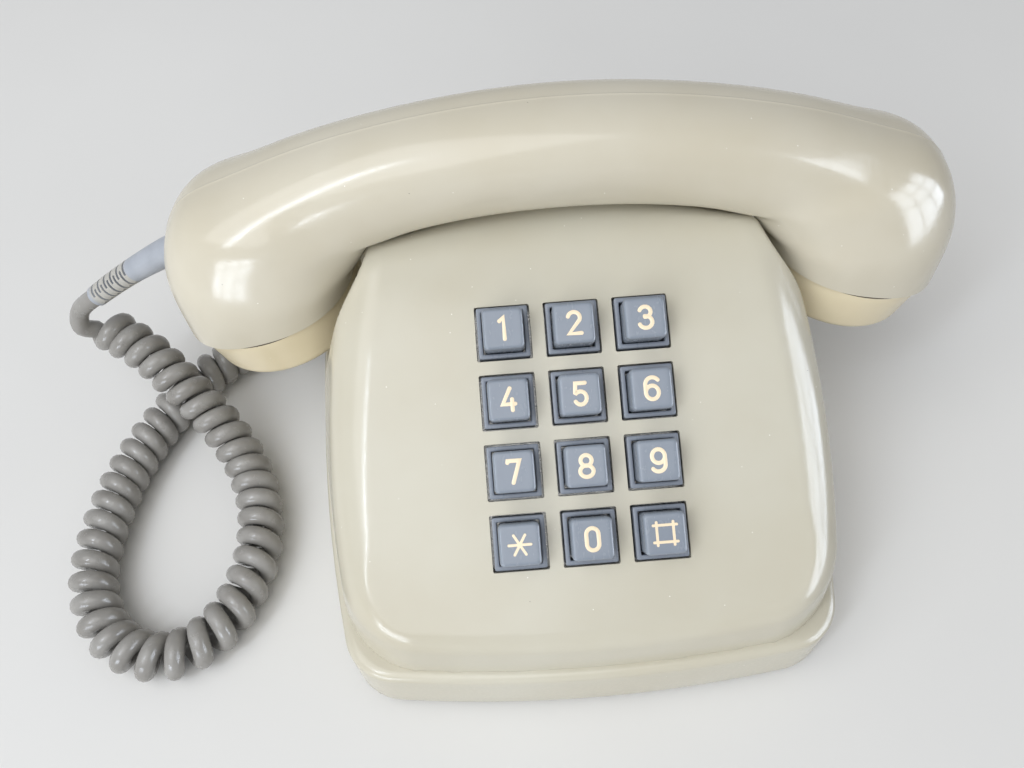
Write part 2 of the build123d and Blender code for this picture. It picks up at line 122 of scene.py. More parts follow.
# The upper lead starts inside the boot.
UPPER_LEAD = [
    (-141.6, 41.0, 63.2), (-148.8, 41.38, 57.75), (-154.0, 42.4, 53.6), (-158.6, 43.4, 48.6),
    (-160.3, 40.9, 43.2), (-157.6, 42.3, 40.0),
]
COIL = [
    (-154.0, 44.9, 37.4), (-149.0, 42.2, 34.4),
    (-140.9, 37.4, 31.2), (-129.3, 26.3, 24.5), (-118.6, 15.8, 16.5),
    (-109.0, 2.0, 9.5), (-103.0, -17.0, 7.9), (-104.5, -38.0, 7.9), (-114.0, -56.0, 7.9),
    (-130.0, -63.5, 7.9), (-147.5, -56.0, 7.9), (-157.0, -38.0, 7.9), (-156.5, -17.0, 7.9),
    (-151.5, 5.0, 7.9), (-141.0, 26.0, 7.9), (-129.0, 42.0, 7.9), (-115.0, 53.5, 8.2),
    (-100.0, 56.5, 10.5),
]
LOWER_LEAD = [(-95.1, 57.48, 11.25), (-90.0, 54.0, 13.5), (-84.6, 54.0, 13.5)]

KEY_NAMES = ["1", "2", "3", "4", "5", "6", "7", "8", "9", "star", "0", "hash"]


# ------------------------------------------------------------------ mesh helpers
def piece(name, points, faces, material, crease=35.0):
    """A mesh object from points in millimetres, smooth except at its creases."""
    mesh = bpy.data.meshes.new(name)
    mesh.from_pydata((np.asarray(points, float) * MM).tolist(), [], faces)
    mesh.update()
    return shaded(name, mesh, material, crease)


def shaded(name, mesh, material, crease=35.0):
    obj = bpy.data.objects.new(name, mesh)
    bpy.context.scene.collection.objects.link(obj)
    mesh.materials.clear()
    mesh.materials.append(material)
    mesh.polygons.foreach_set("use_smooth", [True] * len(mesh.polygons))
    mesh.set_sharp_from_angle(angle=math.radians(crease))
    return obj


def grid_faces(rows, columns, close_rows=False, start=0):
    """Quads of rows of points; each row wraps, and the rows do where asked."""
    faces = []
    for r in range(rows if close_rows else rows - 1):
        for c in range(columns):
            d = (c + 1) % columns
            e = (r + 1) % rows
            faces.append((start + r * columns + c, start + r * columns + d,
                          start + e * columns + d, start + e * columns + c))
    return faces


def ring_shell(rings):
    """Skin of a closed ring of rings: outside, then lining back to the start."""
    points = [p for ring in rings for p in ring]
    return points, grid_faces(len(rings), len(rings[0]), close_rows=True)


def stack(rings):
    """Closed skin over a stack of rings with the same number of points, poles filled."""
    count = len(rings[0])
    points = [p for ring in rings for p in ring]
    faces = grid_faces(len(rings), count)
    for ring, flip in ((0, True), (len(rings) - 1, False)):
        middle = np.mean(np.asarray(rings[ring], float), axis=0)
        points.append(tuple(middle))
        pole = len(points) - 1
        for c in range(count):
            d = (c + 1) % count
            edge = (ring * count + c, ring * count + d)
            faces.append((edge[1], edge[0], pole) if flip else (edge[0], edge[1], pole))
    return points, faces


def outward(mesh):
    """Faces turned to point out of a closed mesh."""
    bm = bmesh.new()
    bm.from_mesh(mesh)
    bmesh.ops.recalc_face_normals(bm, faces=bm.faces)
    bm.to_mesh(mesh)
    bm.free()


def placed(points, matrix):
    return [tuple(matrix @ Vector(p)) for p in points]


def frame_matrix(origin, x_axis, y_axis, z_axis):
    turn = Matrix((x_axis, y_axis, z_axis)).transposed().to_4x4()
    return Matrix.Translation(origin) @ turn


def slope_matrix():
    normal = Vector((0, -math.sin(SLOPE), math.cos(SLOPE)))
    up = Vector((0, math.cos(SLOPE), math.sin(SLOPE)))
    return frame_matrix(KEY_ORIGIN, Vector((1, 0, 0)), up, normal)


def lean_matrix():
    """Handset mid plane: x along it, y back through it, z up it."""
    up = Vector((0, math.sin(LEAN), math.cos(LEAN)))
    back = Vector((0, math.cos(LEAN), -math.sin(LEAN)))
    return frame_matrix(HANDSET_ORIGIN, Vector((1, 0, 0)), back, up)


def axis_matrix(origin, direction):
    """Frame whose z runs along a direction."""
    z = Vector(direction).normalized()
    x = Vector((0, 0, 1)).cross(z)
    x = Vector((1, 0, 0)) if x.length < 1e-6 else x.normalized()
    return frame_matrix(Vector(origin), x, z.cross(x), z)


def lathe(profile, segments=72):
    """Rings of a turned shape from (radius, height) pairs."""
    return [
        [(r * math.cos(2 * math.pi * i / segments), r * math.sin(2 * math.pi * i / segments), h)
         for i in range(segments)]
        for r, h in profile
    ]


def rounded_square(half, radius, height, steps=6):
    """Ring of points round a square with round corners."""
    ring = []
    for corner in range(4):
        sx, sy = ((1, 1), (-1, 1), (-1, -1), (1, -1))[corner]
        for i in range(steps + 1):
            angle = math.pi / 2 * (corner + i / steps)
            ring.append((sx * (half - radius) + radius * math.cos(angle),
                         sy * (half - radius) + radius * math.sin(angle), height))
    return ring


def settled(obj):
    """The object with what its modifiers make as its plain mesh."""
    graph = bpy.context.evaluated_depsgraph_get()
    graph.update()
    mesh = bpy.data.meshes.new_from_object(obj.evaluated_get(graph))
    obj.modifiers.clear()
    old = obj.data
    obj.data = mesh
    bpy.data.meshes.remove(old)
    return obj


def discard(obj):
    data = obj.data
    bpy.data.objects.remove(obj)
    bpy.data.meshes.remove(data)


def cut(obj, cutter):
    """Take the cutter away from obj."""
    modifier = obj.modifiers.new("cut", "BOOLEAN")
    modifier.operation = "DIFFERENCE"
    modifier.solver = "EXACT"
    modifier.object = cutter
    settled(obj)
    discard(cutter)
    return obj


def one_finish(mesh, material):
    """The same material and smooth shading on every face of a cut mesh."""
    mesh.materials.clear()
    mesh.materials.append(material)
    mesh.polygons.foreach_set("material_index", [0] * len(mesh.polygons))
    mesh.polygons.foreach_set("use_smooth", [True] * len(mesh.polygons))


# --------------------------------------------------------------- geometry trees
def new_tree(name, inputs):
    """Geometry tree with named inputs and one geometry output."""
    tree = bpy.data.node_groups.new(name, "GeometryNodeTree")
    for label, kind, value in inputs:
        socket = tree.interface.new_socket(label, in_out="INPUT", socket_type=kind)
        if value is not None:
            socket.default_value = value
    tree.interface.new_socket("Geometry", in_out="OUTPUT", socket_type="NodeSocketGeometry")
    entry = tree.nodes.new("NodeGroupInput")
    leave = tree.nodes.new("NodeGroupOutput")
    return tree, entry, leave


def grown(name, tree, values):
    """Run a geometry tree on an empty mesh and keep the plain mesh it makes."""
    host = bpy.data.objects.new(name, bpy.data.meshes.new(name))
    bpy.context.scene.collection.objects.link(host)
    modifier = host.modifiers.new("make", "NODES")
    modifier.node_group = tree
    for item in tree.interface.items_tree:
        if item.item_type == "SOCKET" and item.in_out == "INPUT" and item.name in values:
            modifier[item.identifier] = values[item.name]
    return settled(host)


def wired(tree, kind, sockets):
    """A new node of a tree, with values or other nodes' outputs on its inputs."""
    node = tree.nodes.new(kind)
    for label, value in sockets.items():
        if isinstance(value, bpy.types.NodeSocket):
            tree.links.new(value, node.inputs[label])
        else:
            node.inputs[label].default_value = value
    return node


def finished(tree, entry, leave, geometry):
    """End a tree with the material that it is given."""
    finish = wired(tree, "GeometryNodeSetMaterial",
                   {"Geometry": geometry, "Material": entry.outputs["Finish"]})
    tree.links.new(finish.outputs["Geometry"], leave.inputs["Geometry"])
    return tree


def keypad_tree():
    """One unit repeated over the keypad, then laid on the slope."""
    tree, entry, leave = new_tree("keypad_repeat", [
        ("Unit", "NodeSocketObject", None),
        ("Pitch", "NodeSocketFloat", KEY_PITCH * MM),
        ("Columns", "NodeSocketInt", 3),
        ("Rows", "NodeSocketInt", 4),
        ("Place", "NodeSocketVector", tuple(KEY_ORIGIN * MM)),
        ("Slope", "NodeSocketFloat", SLOPE),
        ("Finish", "NodeSocketMaterial", None),
    ])
    given = entry.outputs

    def span(count):
        less = wired(tree, "ShaderNodeMath", {0: given[count], 1: 1.0})
        less.operation = "SUBTRACT"
        size = wired(tree, "ShaderNodeMath", {0: less.outputs[0], 1: given["Pitch"]})
        size.operation = "MULTIPLY"
        return size.outputs[0]

    grid = wired(tree, "GeometryNodeMeshGrid", {
        "Size X": span("Columns"), "Size Y": span("Rows"),
        "Vertices X": given["Columns"], "Vertices Y": given["Rows"]})
    unit = wired(tree, "GeometryNodeObjectInfo", {"Object": given["Unit"]})
    spread = wired(tree, "GeometryNodeInstanceOnPoints", {
        "Points": grid.outputs["Mesh"], "Instance": unit.outputs["Geometry"]})
    tilt = wired(tree, "ShaderNodeCombineXYZ", {"X": given["Slope"]})
    real = wired(tree, "GeometryNodeRealizeInstances", {"Geometry": spread.outputs["Instances"]})
    lay = wired(tree, "GeometryNodeTransform", {
        "Geometry": real.outputs["Geometry"], "Translation": given["Place"],
        "Rotation": tilt.outputs["Vector"]})
    return finished(tree, entry, leave, lay.outputs["Geometry"])


def sound_hole_tree():
    """Rings of small upright drills round a middle one, for a cap's face."""
    tree, entry, leave = new_tree("sound_holes", [
        ("Drill", "NodeSocketObject", None),
        ("Inner Radius", "NodeSocketFloat", 0.006),
        ("Inner Count", "NodeSocketInt", 6),
        ("Outer Radius", "NodeSocketFloat", 0.012),
        ("Outer Count", "NodeSocketInt", 12),
        ("Finish", "NodeSocketMaterial", None),
    ])
    given = entry.outputs
    join = tree.nodes.new("GeometryNodeJoinGeometry")
    for ring in ("Inner", "Outer"):
        circle = wired(tree, "GeometryNodeMeshCircle", {
            "Vertices": given[ring + " Count"], "Radius": given[ring + " Radius"]})
        tree.links.new(circle.outputs["Mesh"], join.inputs["Geometry"])
    middle = wired(tree, "GeometryNodeMeshLine", {"Count": 1})
    tree.links.new(middle.outputs["Mesh"], join.inputs["Geometry"])
    drill = wired(tree, "GeometryNodeObjectInfo", {"Object": given["Drill"]})
    spread = wired(tree, "GeometryNodeInstanceOnPoints", {
        "Points": join.outputs["Geometry"], "Instance": drill.outputs["Geometry"]})
    real = wired(tree, "GeometryNodeRealizeInstances", {"Geometry": spread.outputs["Instances"]})
    return finished(tree, entry, leave, real.outputs["Geometry"])


# -------------------------------------------------------------------- materials
def srgb(red, green, blue):
    """Linear colour of a paint chip given as 0 to 255 screen values."""
    def line(v):
        v /= 255.0
        return v / 12.92 if v <= 0.04045 else ((v + 0.055) / 1.055) ** 2.4
    return (line(red), line(green), line(blue), 1.0)


class Finish:
    """A material under construction: its nodes, links and shader."""

    def __init__(self, name, roughness=0.5, metallic=0.0, ior=1.5, coat=0.0):
        self.material = bpy.data.materials.new(name)
        self.material.use_nodes = True
        self.tree = self.material.node_tree
        self.shader = self.tree.nodes["Principled BSDF"]
        for label, value in (("Roughness", roughness), ("Metallic", metallic), ("IOR", ior),
                             ("Coat Weight", coat), ("Coat Roughness", 0.08)):
            self.shader.inputs[label].default_value = value
        self.place = self.tree.nodes.new("ShaderNodeTexCoord").outputs["Object"]

    def noise(self, scale, detail=3.0, stretch=None):
        where = self.place
        if stretch is not None:
            mapping = wired(self.tree, "ShaderNodeMapping", {"Scale": stretch, "Vector": where})
            where = mapping.outputs["Vector"]
        return wired(self.tree, "ShaderNodeTexNoise", {
            "Scale": scale, "Detail": detail, "Vector": where}).outputs["Fac"]

    def wave(self, scale, distortion=0.0):
        return wired(self.tree, "ShaderNodeTexWave", {
            "Scale": scale, "Distortion": distortion, "Vector": self.place}).outputs["Fac"]

    def specks(self, scale, size):
        """One where a scattered small grain lies, else nought."""
        cells = wired(self.tree, "ShaderNodeTexVoronoi", {"Scale": scale, "Vector": self.place})
        near = wired(self.tree, "ShaderNodeMath", {0: cells.outputs["Distance"], 1: size})
        near.operation = "LESS_THAN"
        return near.outputs[0]

    def mapped(self, value, low, high, start=0.3, end=0.7):
        return wired(self.tree, "ShaderNodeMapRange", {
            "From Min": start, "From Max": end, "To Min": low, "To Max": high,
            "Value": value}).outputs["Result"]

    def mix(self, factor, first, second):
        """Mix two colours, or a colour output and a colour, by a factor."""
        node = self.tree.nodes.new("ShaderNodeMix")
        node.data_type = "RGBA"
        self.tree.links.new(factor, node.inputs["Factor"])
        for socket, value in ((node.inputs[6], first), (node.inputs[7], second)):
            if isinstance(value, tuple):
                socket.default_value = value
            else:
                self.tree.links.new(value, socket)
        return node.outputs[2]

    def colour(self, output):
        self.tree.links.new(output, self.shader.inputs["Base Color"])

    def roughness(self, output):
        self.tree.links.new(output, self.shader.inputs["Roughness"])

    def bump(self, height, strength, distance=0.0001):
        node = wired(self.tree, "ShaderNodeBump", {
            "Strength": strength, "Distance": distance, "Height": height})
        self.tree.links.new(node.outputs["Normal"], self.shader.inputs["Normal"])


def moulded(name, light, dark, gloss=0.17, dust=True):
    """Glossy moulded plastic with slight yellowing, fine wear and dust."""
    f = Finish(name, roughness=gloss, ior=1.5)
    tone = f.mapped(f.noise(22.0, 4.0), 0.0, 1.0)
    colour = f.mix(tone, light, dark)
    if dust:
        colour = f.mix(f.specks(190.0, 0.03), colour, srgb(238, 236, 228))
        colour = f.mix(f.specks(110.0, 0.013), colour, srgb(110, 101, 86))
    f.colour(colour)
    wear = f.noise(900.0, 2.0, (1.0, 0.15, 1.0))
    f.roughness(f.mapped(wear, gloss - 0.03, gloss + 0.09))
    f.bump(f.noise(260.0, 2.0), 0.06)
    return f.material


def rubbery(name, light, dark, gloss=0.38, grain=700.0):
    """Soft vinyl or rubber with an uneven hand-worn sheen."""
    f = Finish(name, roughness=gloss, ior=1.46)
    f.colour(f.mix(f.mapped(f.noise(120.0, 4.0), 0.0, 1.0), light, dark))
    f.roughness(f.mapped(f.noise(340.0, 3.0), gloss - 0.08, gloss + 0.12))
    f.bump(f.noise(grain, 3.0), 0.18)
    return f.material


def boot_vinyl(name, light, dark):
    """Soft vinyl, pale at the worn lips of its slots, with painted shade darkening the floors of
    the slots.
    """
    f = Finish(name, roughness=0.36, ior=1.46)
    attribute = f.tree.nodes.new("ShaderNodeAttribute")
    attribute.attribute_name = "lip"
    lip = attribute.outputs["Fac"]
    body = f.mix(f.mapped(f.noise(120.0, 4.0), 0.0, 1.0), light, dark)
    worn = f.mix(f.mapped(lip, 0.0, 0.8, 0.3, 1.0), body, srgb(184, 180, 169))
    # painted shade: where the lip value is below nought (sunk slot floors) the colour goes nearly
    # black, standing for the shade inside the slots
    f.colour(f.mix(f.mapped(lip, 1.0, 0.0, -0.9, -0.4), worn, srgb(52, 50, 48)))
    f.roughness(f.mapped(f.noise(340.0, 3.0), 0.28, 0.48))
    f.bump(f.noise(700.0, 3.0), 0.18)
    return f.material


def metal(name, light, dark, gloss=0.3, brushed=(1.0, 12.0, 1.0)):
    """Plain or plated metal with fine draw marks."""
    f = Finish(name, roughness=gloss, metallic=1.0)
    f.colour(f.mix(f.mapped(f.noise(160.0, 4.0), 0.0, 1.0), light, dark))
    f.roughness(f.mapped(f.noise(420.0, 3.0, brushed), gloss - 0.08, gloss + 0.12))
    f.bump(f.noise(900.0, 2.0, brushed), 0.12)
    return f.material


def laminate(name, light, dark):
    """Glass-fibre board with a faint weave."""
    f = Finish(name, roughness=0.45, coat=0.3)
    weave = f.wave(320.0, 2.0)
    f.colour(f.mix(weave, light, dark))
    f.bump(weave, 0.08)
    return f.material


def wound(name, light, dark):
    """Fine enamelled wire wound in close turns."""
    f = Finish(name, roughness=0.3, coat=0.5)
    turns = f.wave(900.0)
    f.colour(f.mix(turns, light, dark))
    f.bump(turns, 0.4)
    return f.material


CREAM = moulded("cream_housing", srgb(204, 200, 184), srgb(197, 191, 172))
HANDSET_CREAM = moulded("cream_handset", srgb(209, 203, 186), srgb(200, 192, 171), gloss=0.14)
CAP_CREAM = moulded("yellowed_caps", srgb(226, 214, 184), srgb(219, 205, 171), gloss=0.18)
KEY_GREY = moulded("key_blue_grey", srgb(141, 149, 160), srgb(132, 140, 151), gloss=0.2,
                   dust=False)
COLLAR_GREY = moulded("collar_blue_grey", srgb(130, 137, 148), srgb(120, 127, 138), gloss=0.28,
                      dust=False)
MARK_CREAM = moulded("mark_cream", srgb(252, 236, 206), srgb(244, 222, 188), gloss=0.3, dust=False)
CORD_GREY = rubbery("cord_warm_grey", srgb(156, 154, 150), srgb(137, 134, 129), gloss=0.19)
BOOT_GREY = boot_vinyl("boot_blue_grey", srgb(174, 179, 187), srgb(158, 163, 171))
BLACK_RUBBER = rubbery("foot_rubber", srgb(38, 37, 36), srgb(26, 26, 26), gloss=0.6)
# dark ring colour for the seam gap above each cap: grime, and painted shade for the gap's shadow
JOINT_GRIME_AND_SHADE = rubbery("joint_grime_and_shade", srgb(84, 74, 58), srgb(62, 54, 42), gloss=0.6)
GLAND_GREY = rubbery("gland_grey", srgb(140, 138, 133), srgb(122, 120, 116), gloss=0.4)
BLACK_PLASTIC = rubbery("black_moulding", srgb(34, 34, 36), srgb(22, 22, 24), gloss=0.42)
RED_PLASTIC = rubbery("contact_red", srgb(150, 44, 34), srgb(128, 34, 28), gloss=0.4)
WHITE_PLASTIC = moulded("plunger_ivory", srgb(226, 222, 208), srgb(214, 208, 190), gloss=0.3,
                        dust=False)
STEEL = metal("plated_steel", (0.62, 0.62, 0.6, 1), (0.5, 0.5, 0.49, 1), gloss=0.28)
BRASS = metal("terminal_brass", (0.72, 0.53, 0.24, 1), (0.6, 0.42, 0.17, 1), gloss=0.3)
GONG_METAL = metal("gong_nickel", (0.66, 0.63, 0.56, 1), (0.56, 0.53, 0.47, 1), gloss=0.18)
BOARD = laminate("board_brown", srgb(142, 112, 62), srgb(122, 94, 50))
COPPER_COIL = wound("coil_copper", srgb(178, 92, 48), srgb(128, 58, 30))
CAN = moulded("capacitor_sleeve", srgb(58, 84, 128), srgb(48, 70, 110), gloss=0.35, dust=False)
CERAMIC = moulded("resistor_body", srgb(196, 170, 128), srgb(176, 148, 106), gloss=0.45, dust=False)
MAGNET = metal("magnet_dark", (0.12, 0.12, 0.13, 1), (0.07, 0.07, 0.08, 1), gloss=0.45)
CAPSULE = metal("capsule_tin", (0.5, 0.5, 0.48, 1), (0.4, 0.4, 0.39, 1), gloss=0.35)


# ----------------------------------------------------------------------- camera
CAMERA_PLACE = Vector((-20.1, -151.2, 280.0))
CAMERA_HEADING = math.radians(1.025)    # turned right of straight back
CAMERA_PITCH = math.radians(-56.613)
CAMERA_ROLL = math.radians(-3.588)
CAMERA_LENS = 31.64


def add_camera():
    heading = Vector((math.sin(CAMERA_HEADING), math.cos(CAMERA_HEADING), 0))
    ahead = heading * math.cos(CAMERA_PITCH) + Vector((0, 0, math.sin(CAMERA_PITCH)))
    level = ahead.cross(Vector((0, 0, 1))).normalized()
    above = level.cross(ahead)
    right = level * math.cos(CAMERA_ROLL) + above * math.sin(CAMERA_ROLL)
    data = bpy.data.cameras.new("camera")
    data.lens = CAMERA_LENS
    data.sensor_width = 36.0
    data.clip_start = 0.01
    camera = bpy.data.objects.new("camera", data)
    bpy.context.scene.collection.objects.link(camera)
    camera.matrix_world = frame_matrix(CAMERA_PLACE * MM, right, right.cross(ahead), -ahead)
    bpy.context.scene.camera = camera


# ------------------------------------------------------------------------- cord
def route_points(points):
    """Points along the smooth line that a route's control points make."""
    curve = bpy.data.curves.new("cord_route", "CURVE")
    curve.dimensions = "3D"
    curve.resolution_u = 32
    spline = curve.splines.new("NURBS")
    spline.points.add(len(points) - 1)
    for spot, place in zip(spline.points, points):
        spot.co = (*(c * MM for c in place), 1.0)
    spline.order_u = 3
    spline.use_endpoint_u = True
    obj = bpy.data.objects.new("cord_route", curve)
    bpy.context.scene.collection.objects.link(obj)
    mesh = bpy.data.meshes.new_from_object(obj)
    line = np.array([v.co for v in mesh.vertices]) / MM
    bpy.data.objects.remove(obj)
    bpy.data.curves.remove(curve)
    bpy.data.meshes.remove(mesh)
    return line


def along(line, count):
    """Evenly spaced points on a line, with its length."""
    steps = np.linalg.norm(np.diff(line, axis=0), axis=1)
    run = np.concatenate([[0.0], np.cumsum(steps)])
    at = np.linspace(0.0, run[-1], count)
    return np.stack([np.interp(at, run, line[:, i]) for i in range(3)], axis=1), run[-1]


def carried_frames(line):
    """Directions across a line, carried along it without twist."""
    ahead = np.gradient(line, axis=0)
    ahead /= np.linalg.norm(ahead, axis=1)[:, None]
    side = np.cross(ahead[0], (0.0, 0.0, 1.0))
    side /= np.linalg.norm(side)
    sides = [side]
    for t in ahead[1:]:
        side = sides[-1] - t * np.dot(sides[-1], t)
        sides.append(side / np.linalg.norm(side))
    sides = np.array(sides)
    return sides, np.cross(ahead, sides)


def tube_rings(line, radius, around=14):
    side, up = carried_frames(line)
    turn = 2 * np.pi * np.arange(around) / around
    ring = np.cos(turn)[None, :, None] * side[:, None] + np.sin(turn)[None, :, None] * up[:, None]
    radius = np.broadcast_to(np.asarray(radius, float), (len(line),))
    return line[:, None] + ring * radius[:, None, None]


def nearest(line, point):
    return int(np.argmin(np.linalg.norm(line - np.asarray(point), axis=1)))


def smooth_step(value):
    value = np.clip(value, 0.0, 1.0)
    return value * value * (3 - 2 * value)


COIL_STEPS = 26             # points in one turn of the coil
SWING_IN = 4.0              # run over which the wire swings out into the coil
SWING_OUT = 6.0
# rise of one turn at places along the coil: the turns open round the bend
PITCH_AT = [(0.0, 6.6), (70.0, 6.8), (120.0, 7.4), (180.0, 7.3), (225.0, 6.6), (340.0, 6.5)]


def handset_cord():
    """Plain lead from the boot, then a curled cord into the base."""
    axis, length = along(route_points(UPPER_LEAD + COIL + LOWER_LEAD), 2400)
    run = np.linspace(0.0, length, len(axis))
    first = nearest(axis, COIL[0])
    coiled = run - run[first]
    swing = smooth_step(coiled / SWING_IN + 1.0) * smooth_step((run[-1] - run) / SWING_OUT)
    swing *= (COIL_DIAMETER - CORD_WIRE) / 2
    pitch = np.interp(coiled, *zip(*PITCH_AT))
    turn = np.cumsum(np.where(coiled > 0, 2 * np.pi / pitch, 0.0)) * (run[1] - run[0])
    side, up = carried_frames(axis)
    low_left = np.array((-0.70, -0.59, -0.40))
    turn += math.atan2(-np.dot(up[first], low_left), np.dot(side[first], low_left))
    helix = axis + swing[:, None] * (np.cos(turn)[:, None] * side - np.sin(turn)[:, None] * up)
    pieces = [
        ("cord_lead", 0, first + 1, CORD_WIRE, ["handset_cord_lead"], UPPER_LEAD[1]),
        ("cord_coil", first, len(axis), COIL_DIAMETER, ["handset_cord_coil", "base_cord_lead"],
         COIL[0]),
    ]
    for name, start, end, thick, stands_for, leaves in pieces:
        stretch = helix[start:end]
        wire = np.linalg.norm(np.diff(stretch, axis=0), axis=1).sum()
        step = math.pi * (COIL_DIAMETER - CORD_WIRE) / COIL_STEPS
        line, _ = along(stretch, int(wire / step) + 2)
        points, faces = stack(list(tube_rings(line, CORD_WIRE / 2)))
        cord = piece(name, points, faces, CORD_GREY, crease=60.0)
        outward(cord.data)
        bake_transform(cord)
        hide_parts(*stands_for)


# ------------------------------------------------------------------------- boot
NECK = 22.5
ROOT_RADIUS, NECK_RADIUS, TIP_RADIUS = 4.6, 3.9, 3.5
SLOT_PITCH = 1.75
SLOT = 0.75
SLOT_COUNT = 11
SLOT_FLOOR = 2.75
BRIDGE = 0.5                # half angle of a bridge across a slot
SLOT_LIP = 0.1


def boot_place(share):
    """Frame on the boot's bent line, z along it."""
    a, b, c = (Vector(p) for p in BOOT_LINE)
    spot = a * (1 - share) ** 2 + b * 2 * share * (1 - share) + c * share ** 2
    return axis_matrix(spot, (b - a) * (1 - share) + (c - b) * share)


def strain_relief():
    """Boot from the handset: smooth neck, then staggered slots with pale worn lips."""
    length = (Vector(BOOT_LINE[2]) - Vector(BOOT_LINE[0])).length

    def outside(level):
        if level < NECK:
            return ROOT_RADIUS + (NECK_RADIUS - ROOT_RADIUS) * level / NECK
        return NECK_RADIUS + (TIP_RADIUS - NECK_RADIUS) * (level - NECK) / (length - NECK)

    # level along the boot, slot number or -1, paleness of the lip
    rows = [(level, -1, 0.0) for level in np.linspace(0.0, NECK + 0.3, 14)]
    for i in range(SLOT_COUNT):
        middle = NECK + 1.2 + SLOT_PITCH * i
        for level, slot in ((middle - SLOT / 2 - SLOT_LIP, -1), (middle - SLOT / 2, i),
                            (middle + SLOT / 2, i), (middle + SLOT / 2 + SLOT_LIP, -1)):
            rows.append((level, slot, 1.0))
    rows += [(length - 0.9, -1, 0.3), (length - 0.3, -1, 0.0), (length, -1, 0.0)]
    columns = []
    for quarter in range(4):
        middle = quarter * math.pi / 2
        for offset in (-BRIDGE - 0.05, -BRIDGE, -BRIDGE / 2, 0.0, BRIDGE / 2, BRIDGE,
                       BRIDGE + 0.05):
            inside = abs(offset) <= BRIDGE
            columns.append((middle + offset, quarter % 2 if inside else -1))
        room = math.pi / 2 - 2 * BRIDGE - 0.1
        columns += [(middle + BRIDGE + 0.05 + room * k / 4, -1) for k in (1, 2, 3)]
    rings, paleness = [], []
    for level, slot, lip in rows:
        matrix = boot_place(level / length)
        ring = []
        for angle, span in columns:
            sunk = slot >= 0 and span != slot % 2
            radius = SLOT_FLOOR if sunk else outside(level) - (0.35 if level == length else 0.0)
            ring.append(tuple(matrix @ Vector((radius * math.cos(angle),
                                               radius * math.sin(angle), 0))))
            # a sunk slot floor gets -1, which the finish turns into painted shade
            paleness.append(-1.0 if sunk else lip)
        rings.append(ring)
    points, faces = stack(rings)
    boot = piece("cord_boot", points, faces, BOOT_GREY, crease=40.0)
    mark = boot.data.attributes.new("lip", "FLOAT", "POINT")
    mark.data.foreach_set("value", paleness + [0.0] * (len(points) - len(paleness)))
    outward(boot.data)
    boot.data.set_sharp_from_angle(angle=math.radians(40))
    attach(boot, "handset")
    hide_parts("handset_strain_relief")


# ------------------------------------------------------------------ plan outline
def circle_through(a, b, c):
    """Middle and radius of the circle through three plan points."""
    (ax, ay), (bx, by), (cx, cy) = a, b, c
    d = 2 * (ax * (by - cy) + bx * (cy - ay) + cx * (ay - by))
    aa, bb, cc = ax * ax + ay * ay, bx * bx + by * by, cx * cx + cy * cy
    x = (aa * (by - cy) + bb * (cy - ay) + cc * (ay - by)) / d
    y = (aa * (cx - bx) + bb * (ax - cx) + cc * (bx - ax)) / d
    return (x, y), math.hypot(ax - x, ay - y)


def plan_arcs(inset=0.0):
    """Circles of the front, the right side and the back of the plan."""
    fx, fy = FRONT_CORNER[0] - inset, FRONT_CORNER[1] + inset
    bx, by = BACK_CORNER[0] - inset, BACK_CORNER[1] - inset
    half = BASE_HALF_DEPTH - inset
    return (circle_through((-fx, fy), (0, -half), (fx, fy)),
            circle_through((fx, fy), (BASE_HALF_MID - inset, 0), (bx, by)),
            circle_through((bx, by), (0, half), (-bx, by)))


def rounded_corner(first, second, radius, toward):
    """Middle of the circle that rounds the corner of two arcs."""
    (x0, y0), r0 = first
    (x1, y1), r1 = second
    r0, r1 = r0 - radius, r1 - radius
    dx, dy = x1 - x0, y1 - y0
    gap = math.hypot(dx, dy)
    a = (r0 * r0 - r1 * r1 + gap * gap) / (2 * gap)
    h = math.sqrt(max(r0 * r0 - a * a, 0.0))
    spots = [(x0 + (a * dx + s * h * dy) / gap, y0 + (a * dy - s * h * dx) / gap) for s in (1, -1)]
    return min(spots, key=lambda p: math.hypot(p[0] - toward[0], p[1] - toward[1]))


def arc_points(middle, radius, start, end, count):
    """Points on an arc the short way from one plan point to another."""
    a = math.atan2(start[1] - middle[1], start[0] - middle[0])
    b = math.atan2(end[1] - middle[1], end[0] - middle[0])
    b = a + (b - a + math.pi) % (2 * math.pi) - math.pi
    return [(middle[0] + radius * math.cos(a + (b - a) * i / count),
             middle[1] + radius * math.sin(a + (b - a) * i / count)) for i in range(count)]


def touch(circle, spot):
    """Where a corner circle about spot touches an arc's circle."""
    (x, y), r = circle
    d = math.hypot(spot[0] - x, spot[1] - y)
    return (x + (spot[0] - x) * r / d, y + (spot[1] - y) * r / d)


def plan_ring(inset, level):
    """Barrel-shaped plan set in by inset, as a ring of points."""
    front, side, back = plan_arcs(inset)
    half = BASE_HALF_DEPTH - inset
    (fx, fy), (bx, by) = FRONT_CORNER, BACK_CORNER
    low = rounded_corner(front, side, FRONT_RADIUS, (fx - FRONT_RADIUS, fy + FRONT_RADIUS))
    high = rounded_corner(side, back, BACK_RADIUS, (bx - BACK_RADIUS, by - BACK_RADIUS))
    right = arc_points(*front, (0, -half), touch(front, low), 16)
    right += arc_points(low, FRONT_RADIUS, touch(front, low), touch(side, low), 14)
    right += arc_points(*side, touch(side, low), touch(side, high), 28)
    right += arc_points(high, BACK_RADIUS, touch(side, high), touch(back, high), 18)
    right += arc_points(*back, touch(back, high), (0, half), 16)
    right.append((0.0, half))
    left = [(-x, y) for x, y in reversed(right[1:-1])]
    return [(x, y, level) for x, y in right + left]


def disc(radius, x, y, low, high, segments=48):
    """A short upright drill."""
    rings = lathe([(radius, low), (radius, high)], segments)
    return stack([[(px + x, py + y, pz) for px, py, pz in ring] for ring in rings])


